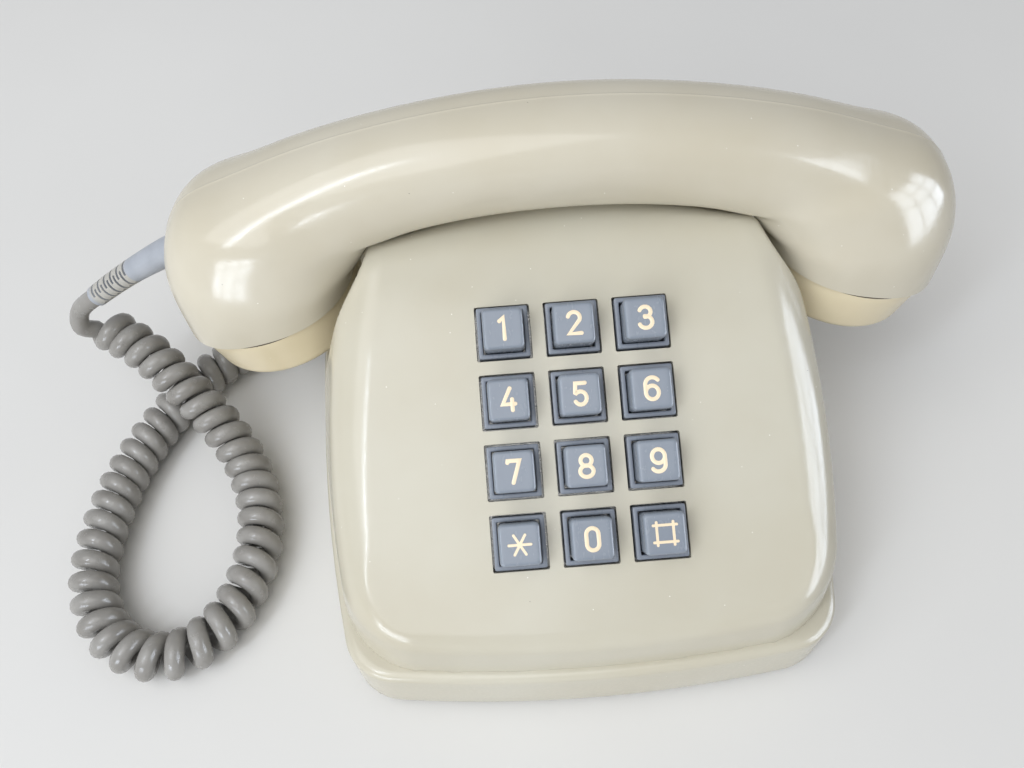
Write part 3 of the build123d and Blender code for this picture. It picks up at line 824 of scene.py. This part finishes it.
def joined_drills(shapes):
    """Several closed shapes as one cutting object."""
    points, faces = [], []
    for some, sides in shapes:
        faces += [tuple(i + len(points) for i in face) for face in sides]
        points += some
    cutter = piece("drills", points, faces, BLACK_RUBBER)
    outward(cutter.data)
    return cutter


def base_housing():
    """Lower half: round-edged tray with a rim round the cover."""
    profile = [(70.0, FOOT_HEIGHT), (40.0, FOOT_HEIGHT), (6.0, FOOT_HEIGHT), (1.6, FOOT_HEIGHT),
               (0.5, FOOT_HEIGHT + 0.4), (0.05, FOOT_HEIGHT + 1.3), (0.0, FOOT_HEIGHT + 1.8),
               (0.0, 10.0), (0.0, 16.0), (0.0, 21.5)]
    for i in range(8):
        angle = math.pi / 2 * i / 7
        profile.append((RIM_ROUND * (1 - math.cos(angle)),
                        RIM_TOP - RIM_ROUND + RIM_ROUND * math.sin(angle)))
    profile += [(4.4, RIM_TOP), (RIM_WIDTH, RIM_TOP), (RIM_WIDTH, RIM_TOP - WALL),
                (WALL, RIM_TOP - WALL), (WALL, FOOT_HEIGHT + WALL), (30.0, FOOT_HEIGHT + WALL),
                (70.0, FOOT_HEIGHT + WALL)]
    rings = []
    for inset, level in profile:
        if inset < 30:
            rings.append(plan_ring(inset, level))
        else:               # the flat bottom closes by shrinking, not by insetting
            share = 1 - inset / BASE_HALF_MID
            rings.append([(x * share, y * share, level) for x, y, _ in plan_ring(0.0, level)])
    points, faces = stack(rings)
    tray = piece("base_housing", points, faces, CREAM)
    outward(tray.data)
    drills = [disc(FOOT_RADIUS + 0.1, x, y, 0.0, FOOT_HEIGHT + 1.0) for x, y in FEET]
    drills += [disc(SCREW_WELL, x, y, 0.0, 5.0) for x, y in SCREWS]
    tray = cut(tray, joined_drills(drills))
    y, z = GLAND
    side = disc(GLAND_HOLE, 0, 0, -WALL_DRILL, WALL_DRILL)
    gland = (placed(side[0], axis_matrix((-BASE_HALF_MID, y, z), (1, 0, 0))), side[1])
    x, z = INLET
    back = disc(INLET_HOLE, 0, 0, -WALL_DRILL, WALL_DRILL)
    inlet = (placed(back[0], axis_matrix((x, BASE_HALF_DEPTH, z), (0, 1, 0))), back[1])
    tray = cut(tray, joined_drills([gland, inlet]))
    tray.data.set_sharp_from_angle(angle=math.radians(35))
    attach(tray, "base")
    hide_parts("base_tray")


# ------------------------------------------------------------------------ cover
def round_both(a, b, r):
    """Distance to what two solids share, their common edge rounded to r."""
    return np.minimum(np.maximum(a, b), -r) + np.hypot(np.maximum(a + r, 0), np.maximum(b + r, 0))


def outside_cover(x, y, z):
    """Distance from the cover's outer surface, negative inside it."""
    front, side, back = plan_arcs()
    lean = LEDGE + WALL_CURVE * np.maximum(z - RIM_TOP, 0.0) ** 2
    g_front = np.hypot(x - front[0][0], y - front[0][1]) - front[1] + lean
    g_back = np.hypot(x - back[0][0], y - back[0][1]) - back[1] + lean
    g_side = np.hypot(np.abs(x) - side[0][0], y - side[0][1]) - side[1] + lean
    wall = np.where(y < 0, round_both(g_front, g_side, FRONT_RADIUS),
                    round_both(g_back, g_side, BACK_RADIUS))
    steep = 2 * WALL_CURVE * np.maximum(z - RIM_TOP, 0.0)
    wall = wall / np.hypot(1.0, steep)
    slope = -math.sin(SLOPE) * (y - KEY_ORIGIN.y) + math.cos(SLOPE) * (z - KEY_ORIGIN.z)
    top = round_both(slope, z - COVER_TOP, BROW_RADIUS)
    toward_side = smooth_step((g_side - np.maximum(g_front, g_back) + 8.0) / SHOULDER_RUN)
    edge = FRONT_CREASE + (SIDE_SHOULDER - FRONT_CREASE) * toward_side
    form = round_both(wall, top, edge)
    h = math.sin(LEAN) * (y - HANDSET_ORIGIN.y) + math.cos(LEAN) * (z - HANDSET_ORIGIN.z)
    d = math.cos(LEAN) * (y - HANDSET_ORIGIN.y) - math.sin(LEAN) * (z - HANDSET_ORIGIN.z)
    arc = (BACK_ARC + UNDER_ARC) / 2
    trough = np.hypot(np.hypot(x, h - (BACK_APEX - HANDLE_THICK / 2 - arc)) - arc, d)
    form = round_both(form, CRADLE_RADIUS - trough, CRADLE_EDGE)
    well = np.hypot(np.abs(x) - POCKET_X, y - HANDSET_ORIGIN.y) - POCKET_RADIUS
    pocket = round_both(well, POCKET_FLOOR - z, POCKET_ROUND)
    form = round_both(form, -pocket, CRADLE_EDGE)
    hole = np.hypot(np.abs(x) - PLUNGER[0], y - PLUNGER[1]) - PLUNGER_HOLE
    return np.maximum(form, -hole)


def cover_block(x, y, z):
    return np.maximum(outside_cover(x, y, z), RIM_TOP - z)


def cover_room(x, y, z):
    """The hollow inside the cover, run out below its rim."""
    return np.maximum(outside_cover(x, y, z) + WALL, RIM_TOP - 3.0 - z)


def cover_shell(x, y, z):
    return np.maximum(cover_block(x, y, z), -cover_room(x, y, z))


def field_slope(field, points, reach=0.04):
    """Outward direction of a distance field at points."""
    slopes = []
    for axis in range(3):
        shift = np.zeros(3)
        shift[axis] = reach
        slopes.append(field(*(points + shift).T) - field(*(points - shift).T))
    return np.stack(slopes, axis=1) / (2 * reach)


def skin_mesh(field, low, high, step):
    """Points and quads on the zero surface of a distance field."""
    axes = [np.arange(low[i], high[i] + step, step) for i in range(3)]
    x, y, z = np.meshgrid(*axes, indexing="ij")
    value = field(x, y, z)
    spots = np.stack([x, y, z], axis=-1)
    shape = tuple(n - 1 for n in value.shape)
    total = np.zeros(shape + (3,))
    count = np.zeros(shape)

    def corner(array, i, j, k):
        return array[i:i + shape[0], j:j + shape[1], k:k + shape[2]]

    for axis in range(3):
        for a in (0, 1):
            for b in (0, 1):
                start = [a, b]
                start.insert(axis, 0)
                end = [a, b]
                end.insert(axis, 1)
                v0, v1 = corner(value, *start), corner(value, *end)
                crossed = (v0 < 0) != (v1 < 0)
                share = np.where(crossed, v0 / np.where(crossed, v0 - v1, 1.0), 0.0)[..., None]
                place = corner(spots, *start) * (1 - share) + corner(spots, *end) * share
                total += np.where(crossed[..., None], place, 0.0)
                count += crossed
    used = count > 0
    number = np.full(shape, -1)
    number[used] = np.arange(int(used.sum()))
    points = total[used] / count[used][:, None]
    quads = []
    for axis in range(3):
        v = np.moveaxis(value, axis, 0)
        n = np.moveaxis(number, axis, 0)
        v0, v1 = v[:-1, 1:-1, 1:-1], v[1:, 1:-1, 1:-1]
        ring = [n[:, :-1, :-1], n[:, 1:, :-1], n[:, 1:, 1:], n[:, :-1, 1:]]
        ring = [r[:v0.shape[0]] for r in ring]
        out = (v0 < 0) & (v1 >= 0)
        back = (v0 >= 0) & (v1 < 0)
        if axis == 1:
            out, back = back, out
        quads.append(np.stack([r[out] for r in ring], axis=1))
        quads.append(np.stack([r[back] for r in reversed(ring)], axis=1))
    for _ in range(3):
        slopes = field_slope(field, points)
        size = np.maximum((slopes ** 2).sum(axis=1), 0.25)
        move = slopes * (field(*points.T) / size)[:, None]
        reach = np.maximum(np.linalg.norm(move, axis=1) / (0.4 * step), 1.0)
        points = points - move / reach[:, None]
    return points, np.concatenate(quads).tolist()


def field_normals(mesh, field, limit=40.0):
    """Exact normals where the mesh follows the field, flat ones elsewhere."""
    points = np.empty(len(mesh.vertices) * 3)
    mesh.vertices.foreach_get("co", points)
    points = points.reshape(-1, 3) / MM
    slopes = field_slope(field, points)
    slopes /= np.maximum(np.linalg.norm(slopes, axis=1), 1e-9)[:, None]
    faces = np.empty(len(mesh.polygons) * 3)
    mesh.polygons.foreach_get("normal", faces)
    faces = faces.reshape(-1, 3)
    sizes = np.empty(len(mesh.polygons), int)
    mesh.polygons.foreach_get("loop_total", sizes)
    corners = np.empty(len(mesh.loops), int)
    mesh.loops.foreach_get("vertex_index", corners)
    flat = np.repeat(faces, sizes, axis=0)
    bent = slopes[corners]
    follows = (flat * bent).sum(axis=1) > math.cos(math.radians(limit))
    mesh.normals_split_custom_set(np.where(follows[:, None], bent, flat).tolist())


def key_hole_drill():
    """Square drill with a slight flare where it meets the surface."""
    half = KEY_HOLE / 2
    rings = [rounded_square(half, 0.5, -9.0), rounded_square(half, 0.5, -0.25),
             rounded_square(half + 0.06, 0.55, -0.08), rounded_square(half + 0.2, 0.6, 0.02),
             rounded_square(half + 1.2, 0.9, 1.0)]
    points, faces = stack(rings)
    drill = piece("key_hole_drill", points, faces, CREAM)
    outward(drill.data)
    return drill


def housing_cover(repeat):
    low, high = COVER_REACH
    cover = piece("cover_housing", *skin_mesh(cover_block, low, high, COVER_GRID), CREAM)
    room = piece("cover_room", *skin_mesh(cover_room, low, high, ROOM_GRID), CREAM)
    cover = cut(cover, room)
    drill = key_hole_drill()
    holes = grown("key_holes", repeat, {"Unit": drill, "Finish": CREAM})
    cover = cut(cover, holes)
    discard(drill)
    one_finish(cover.data, CREAM)
    field_normals(cover.data, cover_shell)
    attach(cover, "base")
    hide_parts("upper_cover")


# ---------------------------------------------------------------- handset shell
def back_line(x):
    return BACK_APEX - (BACK_ARC - math.sqrt(BACK_ARC ** 2 - x * x))


def under_line(x):
    return BACK_APEX - HANDLE_THICK - (UNDER_ARC - math.sqrt(UNDER_ARC ** 2 - x * x))


def stations():
    """Whole profile, right to left: outer point, inner point, half depth."""
    run, rise = RING_RADIUS * math.cos(FACE_TILT), RING_RADIUS * math.sin(FACE_TILT)
    rows = [((RING_X + run, -rise), (RING_X - run, rise), RING_RADIUS),
            ((115.8, 4.0), (60.9, 9.0), 27.6),
            ((115.6, 14.0), (59.2, 12.0), 27.0),
            ((112.4, 24.0), (56.4, 14.8), 25.0)]
    for outer, inner, depth in ((104.5, 52, 22.5), (93, 46.5, 20.0), (76, 39, 18.4),
                                (53, 27.5, 17.4)):
        rows.append(((outer, back_line(outer)), (inner, under_line(inner)), depth))
    rows.append(((0.0, back_line(0.0)), (0.0, under_line(0.0)), HANDLE_HALF_DEPTH + 0.3))
    far = [((-o[0], o[1]), (-i[0], i[1]), depth) for o, i, depth in reversed(rows[:-1])]
    return rows + far


def smooth_through(knots, values, at):
    """Natural cubic through values at knots."""
    knots, values = np.asarray(knots, float), np.asarray(values, float)
    count, gap = len(knots), np.diff(knots)
    system, right = np.eye(count), np.zeros(values.shape)
    for i in range(1, count - 1):
        system[i, i - 1:i + 2] = gap[i - 1], 2 * (gap[i - 1] + gap[i]), gap[i]
        right[i] = 6 * ((values[i + 1] - values[i]) / gap[i]
                        - (values[i] - values[i - 1]) / gap[i - 1])
    bend = np.linalg.solve(system, right)
    k = np.clip(np.searchsorted(knots, at) - 1, 0, count - 2)
    extra = (1,) * (values.ndim - 1)
    h = gap[k].reshape(-1, *extra)
    a = ((knots[k + 1] - at) / gap[k]).reshape(-1, *extra)
    b = 1 - a
    return (a * values[k] + b * values[k + 1]
            + ((a ** 3 - a) * bend[k] + (b ** 3 - b) * bend[k + 1]) * h * h / 6)


SEAM_HEIGHT = 0.13          # moulding line, proud of the surface
SEAM_HALF = 0.28
HANDSET_ROWS = 180
SEAM_ANGLES = (0.0, 0.0045, 0.012, 0.03, 0.07)


def seam_spread(count):
    """Angles round a section, packed closely at both moulding lines."""
    plain = np.linspace(0.12, math.pi - 0.12, count // 2)
    half = np.concatenate([SEAM_ANGLES, plain, math.pi - np.array(SEAM_ANGLES[:0:-1])])
    return np.concatenate([half, half + math.pi])


def handset_grid(count=92):
    """Grid of points on the handset's outside, rows from cap to cap, with normals."""
    rows = stations()
    outer = np.array([r[0] for r in rows])
    inner = np.array([r[1] for r in rows])
    depth = np.array([r[2] for r in rows])
    middle = (outer + inner) / 2
    run = (np.linalg.norm(np.diff(middle, axis=0), axis=1)
           + 0.35 * np.linalg.norm(np.diff(outer, axis=0), axis=1))
    knots = np.concatenate([[0.0], np.cumsum(run)])
    at = np.linspace(0.0, knots[-1], HANDSET_ROWS)
    o, i = smooth_through(knots, outer, at), smooth_through(knots, inner, at)
    w = smooth_through(knots, depth, at)
    angle = seam_spread(count)
    ca = np.sign(np.cos(angle)) * np.abs(np.cos(angle)) ** FULLNESS
    sa = np.sign(np.sin(angle)) * np.abs(np.sin(angle)) ** FULLNESS
    mid, half = (o + i) / 2, (o - i) / 2
    points = np.stack([mid[:, None, 0] + half[:, None, 0] * ca,
                       w[:, None] * sa,
                       mid[:, None, 1] + half[:, None, 1] * ca], axis=-1)
    down = np.gradient(points, axis=0)
    round_ = np.roll(points, -1, axis=1) - np.roll(points, 1, axis=1)
    normal = np.cross(round_, down)
    normal /= np.maximum(np.linalg.norm(normal, axis=2), 1e-9)[..., None]
    if (normal * (points - mid[:, None, [0, 0, 1]] * (1, 0, 1))).sum() < 0:
        normal = -normal
    ridge = SEAM_HEIGHT * np.exp(-(points[..., 1] / SEAM_HALF) ** 2)
    return points, normal, ridge


def handset_shell():
    points, normal, ridge = handset_grid()
    rows, columns = points.shape[:2]
    outside = points + normal * ridge[..., None]
    inside = points - normal * WALL
    every = np.concatenate([outside.reshape(-1, 3), inside.reshape(-1, 3)])
    faces = grid_faces(rows, columns)
    faces += [tuple(reversed(f)) for f in grid_faces(rows, columns, start=rows * columns)]
    shift = rows * columns
    for row in (0, rows - 1):           # the wall's two open ends
        for c in range(columns):
            a, b = row * columns + c, row * columns + (c + 1) % columns
            quad = (a, b, b + shift, a + shift)
            faces.append(quad if row else tuple(reversed(quad)))
    shell = piece("handset_body", placed(every, lean_matrix()), faces, HANDSET_CREAM)
    outward(shell.data)
    shell.data.set_sharp_from_angle(angle=math.radians(40))
    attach(shell, "handset")
    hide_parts("handset_shell")


def cap_matrix(side):
    """Frame of a cap seam, z into the handset."""
    lean = lean_matrix()
    turn = lean.to_3x3()
    normal = turn @ Vector((side * math.sin(FACE_TILT), 0, math.cos(FACE_TILT)))
    across = turn @ Vector((math.cos(FACE_TILT), 0, -side * math.sin(FACE_TILT)))
    origin = lean @ Vector((side * RING_X, 0, 0))
    return frame_matrix(origin, across, normal.cross(across), normal)


CAP_PROFILE = [(27.35, -CAP_GAP), (27.48, -CAP_GAP - 0.15), (27.45, -1.5), (27.3, -3.0),
               (27.0, -5.0), (26.7, -7.0), (26.4, -9.0), (26.15, -11.0), (25.9, -12.4)]
CAP_ROUND = 3.2
CAP_SEGMENTS = 96
SOUND_HOLE = 1.1
CAP_BORE = 0.4              # left open under the middle sound hole
JOINT_OUTSIDE = 27.46       # line of grime and painted shade in the gap above a cap
JOINT_INSIDE = 26.2
JOINT_LOW = -CAP_GAP - 0.14
JOINT_HIGH = -0.03


def cap(side, node, holes):
    """Perforated cap that screws into the end of the handset."""
    profile = list(CAP_PROFILE)
    edge = profile[-1][0]
    for i in range(1, 9):
        angle = math.pi / 2 * i / 8
        profile.append((edge - CAP_ROUND * (1 - math.cos(angle)) - 0.1 * math.sin(angle),
                        -CAP_DEPTH + 0.1 + CAP_ROUND - CAP_ROUND * math.sin(angle)))
    profile += [(19.0, -CAP_DEPTH + 0.15), (15.0, -CAP_DEPTH + 0.35), (9.0, -CAP_DEPTH + 0.6),
                (CAP_BORE, -CAP_DEPTH + 0.7)]
    inner = [(CAP_BORE, -13.4), (20.0, -13.4), (23.4, -12.6), (24.2, -10.0), (24.2, -5.0),
             (22.6, -4.6), (22.6, 3.0), (24.3, 3.0), (24.4, -0.2), (24.6, -CAP_GAP)]
    points, faces = ring_shell(lathe(profile + inner, CAP_SEGMENTS))
    lid = piece(node + "_lid", points, faces, CAP_CREAM)
    outward(lid.data)
    drill_rings = lathe([(SOUND_HOLE, -CAP_DEPTH - 1.0), (SOUND_HOLE, -12.0)], 20)
    drill = piece("sound_drill", *stack(drill_rings), CAP_CREAM)
    outward(drill.data)
    (inner_radius, inner_count), (outer_radius, outer_count) = holes
    drills = grown("sound_holes", sound_hole_tree(), {
        "Drill": drill, "Inner Radius": inner_radius * MM, "Inner Count": inner_count,
        "Outer Radius": outer_radius * MM, "Outer Count": outer_count, "Finish": CAP_CREAM})
    lid = cut(lid, drills)
    discard(drill)
    one_finish(lid.data, CAP_CREAM)
    move = cap_matrix(side)
    move.translation *= MM
    lid.data.transform(move)
    lid.data.set_sharp_from_angle(angle=math.radians(35))
    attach(lid, "handset")
    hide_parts(node)
    # dark ring in the seam gap: grime, and painted shade standing for the gap's own shadow
    joint_rings = lathe([(JOINT_OUTSIDE, JOINT_LOW), (JOINT_OUTSIDE, JOINT_HIGH),
                         (JOINT_INSIDE, JOINT_HIGH), (JOINT_INSIDE, JOINT_LOW)], CAP_SEGMENTS)
    joint = piece(node + "_joint", *ring_shell(joint_rings), JOINT_GRIME_AND_SHADE)
    outward(joint.data)
    joint.data.transform(move)
    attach(joint, "handset")


# ------------------------------------------------------------------------- keys
def key_places():
    return [((c - 1) * KEY_PITCH, (1.5 - r) * KEY_PITCH) for r in range(4) for c in range(3)]


def key_cap(name, u, v):
    """Square button with softened edges on its stem."""
    half = KEY_CAP / 2
    profile = [(3.0, -10.8, 0.3), (3.0, -10.0, 0.3), (2.0, -10.0, 0.2), (2.0, -3.0, 0.2),
               (half, -3.0, 1.2), (half, 2.0, 1.2), (half, KEY_STAND - 1.0, 1.2)]
    rounding = 0.85
    for i in range(1, 7):
        angle = math.pi / 2 * i / 6
        profile.append((half - rounding * (1 - math.cos(angle)),
                        KEY_STAND - rounding + rounding * math.sin(angle), 1.2))
    profile += [(half - 1.7, KEY_STAND - 0.02, 0.9), (half - 3.5, KEY_STAND - 0.02, 0.5)]
    rings = [rounded_square(h, r, z) for h, z, r in profile]
    points, faces = stack(rings)
    matrix = slope_matrix() @ Matrix.Translation((u, v, 0))
    button = piece("key_cap_" + name, placed(points, matrix), faces, KEY_GREY, crease=50.0)
    outward(button.data)
    button.data.set_sharp_from_angle(angle=math.radians(50))
    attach(button, "button_" + name)
    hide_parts("key_" + name)


def bow(cx, cy, rx, ry, start, end, count=14):
    """Points of an elliptical bow between two angles in degrees."""
    turns = [math.radians(start + (end - start) * i / count) for i in range(count + 1)]
    return [(cx + rx * math.cos(a), cy + ry * math.sin(a)) for a in turns]


# Marks drawn in strokes on a grid 3.3 wide and 5.8 high about the middle.
MARKS = {
    "1": [[(-0.85, 1.95), (0.25, 2.9), (0.3, -2.9)]],
    "2": [bow(0.0, 1.35, 1.6, 1.55, 165, -25, 12) + [(-1.55, -2.85), (1.75, -2.85)]],
    "3": [bow(0.0, 1.5, 1.5, 1.4, 160, -95, 12), bow(0.0, -1.25, 1.75, 1.6, 95, -160, 14)],
    "4": [[(0.5, 2.9), (-1.6, -1.25), (1.7, -1.25)], [(0.95, 0.0), (0.95, -2.9)]],
    "5": [[(1.4, 2.85), (-1.15, 2.85), (-1.35, 0.35)] + bow(0.0, -1.1, 1.6, 1.75, 132, -150, 14)],
    "6": [bow(0.0, -1.1, 1.7, 1.8, 180, -180, 24), bow(0.15, 1.1, 1.85, 1.8, 35, 180, 10)
          + [(-1.7, -1.1)]],
    "7": [[(-1.6, 2.4), (-1.5, 2.85), (1.55, 2.85), (-0.35, -2.9)]],
    "8": [bow(0.0, 1.45, 1.45, 1.4, 0, 360, 22), bow(0.0, -1.35, 1.75, 1.5, 0, 360, 24)],
    "9": [bow(0.0, 1.1, 1.7, 1.8, 0, 360, 24), bow(-0.15, -1.1, 1.85, 1.8, -145, 0, 10)
          + [(1.7, 1.1)]],
    "0": [bow(0.0, 1.25, 1.6, 1.6, 0, 180, 14) + bow(0.0, -1.25, 1.6, 1.6, 180, 360, 14)
          + [(1.6, 1.25)]],
    "star": [[(-2.9, 0.0), (2.9, 0.0)], [(-1.5, 2.5), (1.5, -2.5)], [(1.5, 2.5), (-1.5, -2.5)]],
    "hash": [[(-2.2, -3.0), (-2.2, 3.0)], [(2.2, -3.0), (2.2, 3.0)],
             [(-3.1, 2.2), (3.1, 2.2)], [(-3.1, -2.2), (3.1, -2.2)]],
}
STROKE = 1.08
THIN_STROKE = 0.72
MARK_TOP = 0.07


def stroke_ribbon(line, width, top, bottom=-0.3):
    """Flat bar that follows a line, with round ends, as a closed shape."""
    line = np.array(line, float)
    looped = np.allclose(line[0], line[-1])
    if looped:
        line = line[:-1]
    before, after = line - np.roll(line, 1, axis=0), np.roll(line, -1, axis=0) - line
    if not looped:
        before[0], after[-1] = after[0], before[-1]
    before /= np.linalg.norm(before, axis=1)[:, None]
    after /= np.linalg.norm(after, axis=1)[:, None]
    ahead = before + after
    ahead /= np.linalg.norm(ahead, axis=1)[:, None]
    side = np.stack([-ahead[:, 1], ahead[:, 0]], axis=1)
    reach = width / 2 / np.maximum((ahead * after).sum(axis=1), 0.6)
    rows = []
    for end, way in ((0, -1), (-1, 1)):
        arcs = []
        for i in range(1, 5):
            angle = math.pi / 2 * i / 5
            arcs.append((line[end] + way * ahead[end] * width / 2 * math.sin(angle),
                         side[end] * width / 2 * math.cos(angle)))
        rows.append([] if looped else arcs)
    spine = [m for m, _ in reversed(rows[0])] + list(line) + [m for m, _ in rows[1]]
    offset = ([s for _, s in reversed(rows[0])] + list(side * reach[:, None])
              + [s for _, s in rows[1]])
    rings = []
    for middle, across in zip(spine, offset):
        left, right = middle + across, middle - across
        soft = 0.82
        near_left, near_right = middle + across * soft, middle - across * soft
        rings.append([(*left, bottom), (*left, top - 0.05), (*near_left, top),
                      (*near_right, top), (*right, top - 0.05), (*right, bottom)])
    return ring_shell(rings) if looped else stack(rings)


def key_mark(name, u, v):
    """Raised number or sign on a key's face."""
    points, faces = [], []
    width = THIN_STROKE if name in ("star", "hash") else STROKE
    for i, line in enumerate(MARKS[name]):
        some, sides = stroke_ribbon(line, width, MARK_TOP + 0.006 * i)
        faces += [tuple(k + len(points) for k in side) for side in sides]
        points += some
    matrix = slope_matrix() @ Matrix.Translation((u, v, KEY_STAND))
    mark = piece("key_mark_" + name, placed(points, matrix), faces, MARK_CREAM, crease=30.0)
    outward(mark.data)
    mark.data.set_sharp_from_angle(angle=math.radians(30))
    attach(mark, "button_" + name)


def key_frames(repeat):
    """Fixed square frame round each key."""
    outer, bore = COLLAR / 2 + 0.05, COLLAR_BORE / 2
    profile = [(outer, -8.2, 0.5), (outer, 0.45, 0.5), (outer - 0.08, 0.72, 0.45),
               (outer - 0.28, 0.8, 0.4), (bore + 0.3, 0.8, 0.4), (bore + 0.08, 0.72, 0.35),
               (bore, 0.5, 0.35), (bore, -8.2, 0.35)]
    points, faces = ring_shell([rounded_square(h, r, z) for h, z, r in profile])
    unit = piece("key_frame", points, faces, COLLAR_GREY)
    outward(unit.data)
    frames = grown("key_frames", repeat, {"Unit": unit, "Finish": COLLAR_GREY})
    discard(unit)
    frames.data.polygons.foreach_set("use_smooth", [True] * len(frames.data.polygons))
    frames.data.set_sharp_from_angle(angle=math.radians(50))
    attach(frames, "base")
    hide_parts("key_collars")


# --------------------------------------------------------- finishes of the rest
NODE_FINISH = {
    "rubber_feet": BLACK_RUBBER, "cover_screws": STEEL, "keypad_chassis": STEEL,
    "contact_board": BOARD, "keypad_spacers": BRASS, "contact_cups": BLACK_PLASTIC,
    "keypad_screws": STEEL, "main_board": BOARD, "board_screws": STEEL,
    "speech_transformer": COPPER_COIL, "capacitors": CAN, "resistors": CERAMIC,
    "terminal_block": BLACK_PLASTIC, "terminal_screws": BRASS, "gong_low": GONG_METAL,
    "gong_high": GONG_METAL, "gong_posts": STEEL, "gong_nuts": BRASS, "ringer_frame": STEEL,
    "ringer_coils": COPPER_COIL, "ringer_magnet": MAGNET, "ringer_hammer": BRASS,
    "hammer_pin": STEEL, "hook_plungers": WHITE_PLASTIC, "hook_bar": WHITE_PLASTIC,
    "hook_bracket": STEEL, "hook_springs": STEEL, "hook_contacts": RED_PLASTIC,
    "transmitter_capsule": CAPSULE, "receiver_capsule": CAPSULE, "cord_gland": GLAND_GREY,
    "line_cord_inlet": GLAND_GREY,
}


def finish_nodes():
    for name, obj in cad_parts.items():
        if name not in NODE_FINISH:
            continue
        obj.data.materials.clear()
        obj.data.materials.append(NODE_FINISH[name])


# ---------------------------------------------------------------- floor and light
DAYLIGHT = (0.8, 0.88, 1.0)
WINDOW_BAR = 0.03


def add_floor():
    half = 3.0
    mesh = bpy.data.meshes.new("floor")
    mesh.from_pydata([(-half, -half, 0), (half, -half, 0), (half, half, 0), (-half, half, 0)], [],
                     [(0, 1, 2, 3)])
    f = Finish("floor_pale", roughness=0.9)
    f.shader.inputs["Specular IOR Level"].default_value = 0.15
    f.colour(f.mix(f.mapped(f.noise(6.0), 0.0, 1.0), srgb(226, 225, 222), srgb(222, 221, 218)))
    floor = shaded("floor", mesh, f.material)


def soft_light(name, place, aim, size, power, colour=(1.0, 1.0, 1.0)):
    data = bpy.data.lights.new(name, "AREA")
    data.shape = "RECTANGLE"
    data.size, data.size_y = size
    data.energy = power
    data.color = colour
    lamp = bpy.data.objects.new(name, data)
    bpy.context.scene.collection.objects.link(lamp)
    away = (Vector(place) - Vector(aim)).normalized()
    lamp.matrix_world = axis_matrix(Vector(place), away)
    lamp.visible_camera = False
    return lamp


def window(name, place, aim, columns, rows, pane, power):
    """Upright window of several panes with bars between, seen only where it reflects."""
    ahead = Vector((aim[0] - place[0], aim[1] - place[1], 0)).normalized()
    across = Vector((-ahead.y, ahead.x, 0))
    for i in range(columns):
        for j in range(rows):
            shift = (across * (i - (columns - 1) / 2) * (pane[0] + WINDOW_BAR)
                     + Vector((0, 0, (j - (rows - 1) / 2) * (pane[1] + WINDOW_BAR))))
            spot = Vector(place) + shift
            lamp = soft_light(f"{name}_{i}_{j}", spot, spot + ahead, pane, power, DAYLIGHT)
            lamp.visible_diffuse = False


def add_lights():
    middle = (0.0, 0.0, 0.05)
    soft_light("ceiling", (-0.7, -0.7, 1.85), middle, (2.2, 1.8), 25.5)
    fill = soft_light("front_fill", (-0.9, -1.3, 0.6), middle, (1.0, 0.8), 7.0)
    fill.visible_glossy = False
    window("window_right", (1.0, -0.36, 0.46), middle, 3, 3, (0.32, 0.28), 2.4)
    window("window_left", (-0.65, -1.04, 0.2), middle, 3, 2, (0.17, 0.16), 0.9)
    soft_light("skylight", (-0.63, -0.55, 1.0), (-0.06, 0.02, 0.11), (0.12, 0.6), 3.0, DAYLIGHT)
    world = bpy.data.worlds.new("room")
    world.use_nodes = True
    sky = world.node_tree.nodes["Background"]
    sky.inputs["Color"].default_value = (0.94, 0.96, 1.0, 1.0)
    sky.inputs["Strength"].default_value = 0.4
    bpy.context.scene.world = world
    bpy.context.scene.view_settings.view_transform = "Standard"


add_camera()
handset_cord()
strain_relief()
base_housing()
keypad_repeat = keypad_tree()
housing_cover(keypad_repeat)
key_frames(keypad_repeat)
for key_name, (key_u, key_v) in zip(KEY_NAMES, key_places()):
    key_cap(key_name, key_u, key_v)
    key_mark(key_name, key_u, key_v)
handset_shell()
cap(-1, "mouth_cap", ((6.0, 6), (12.0, 12)))
cap(1, "ear_cap", ((5.0, 6), (10.0, 10)))
finish_nodes()
add_floor()
add_lights()
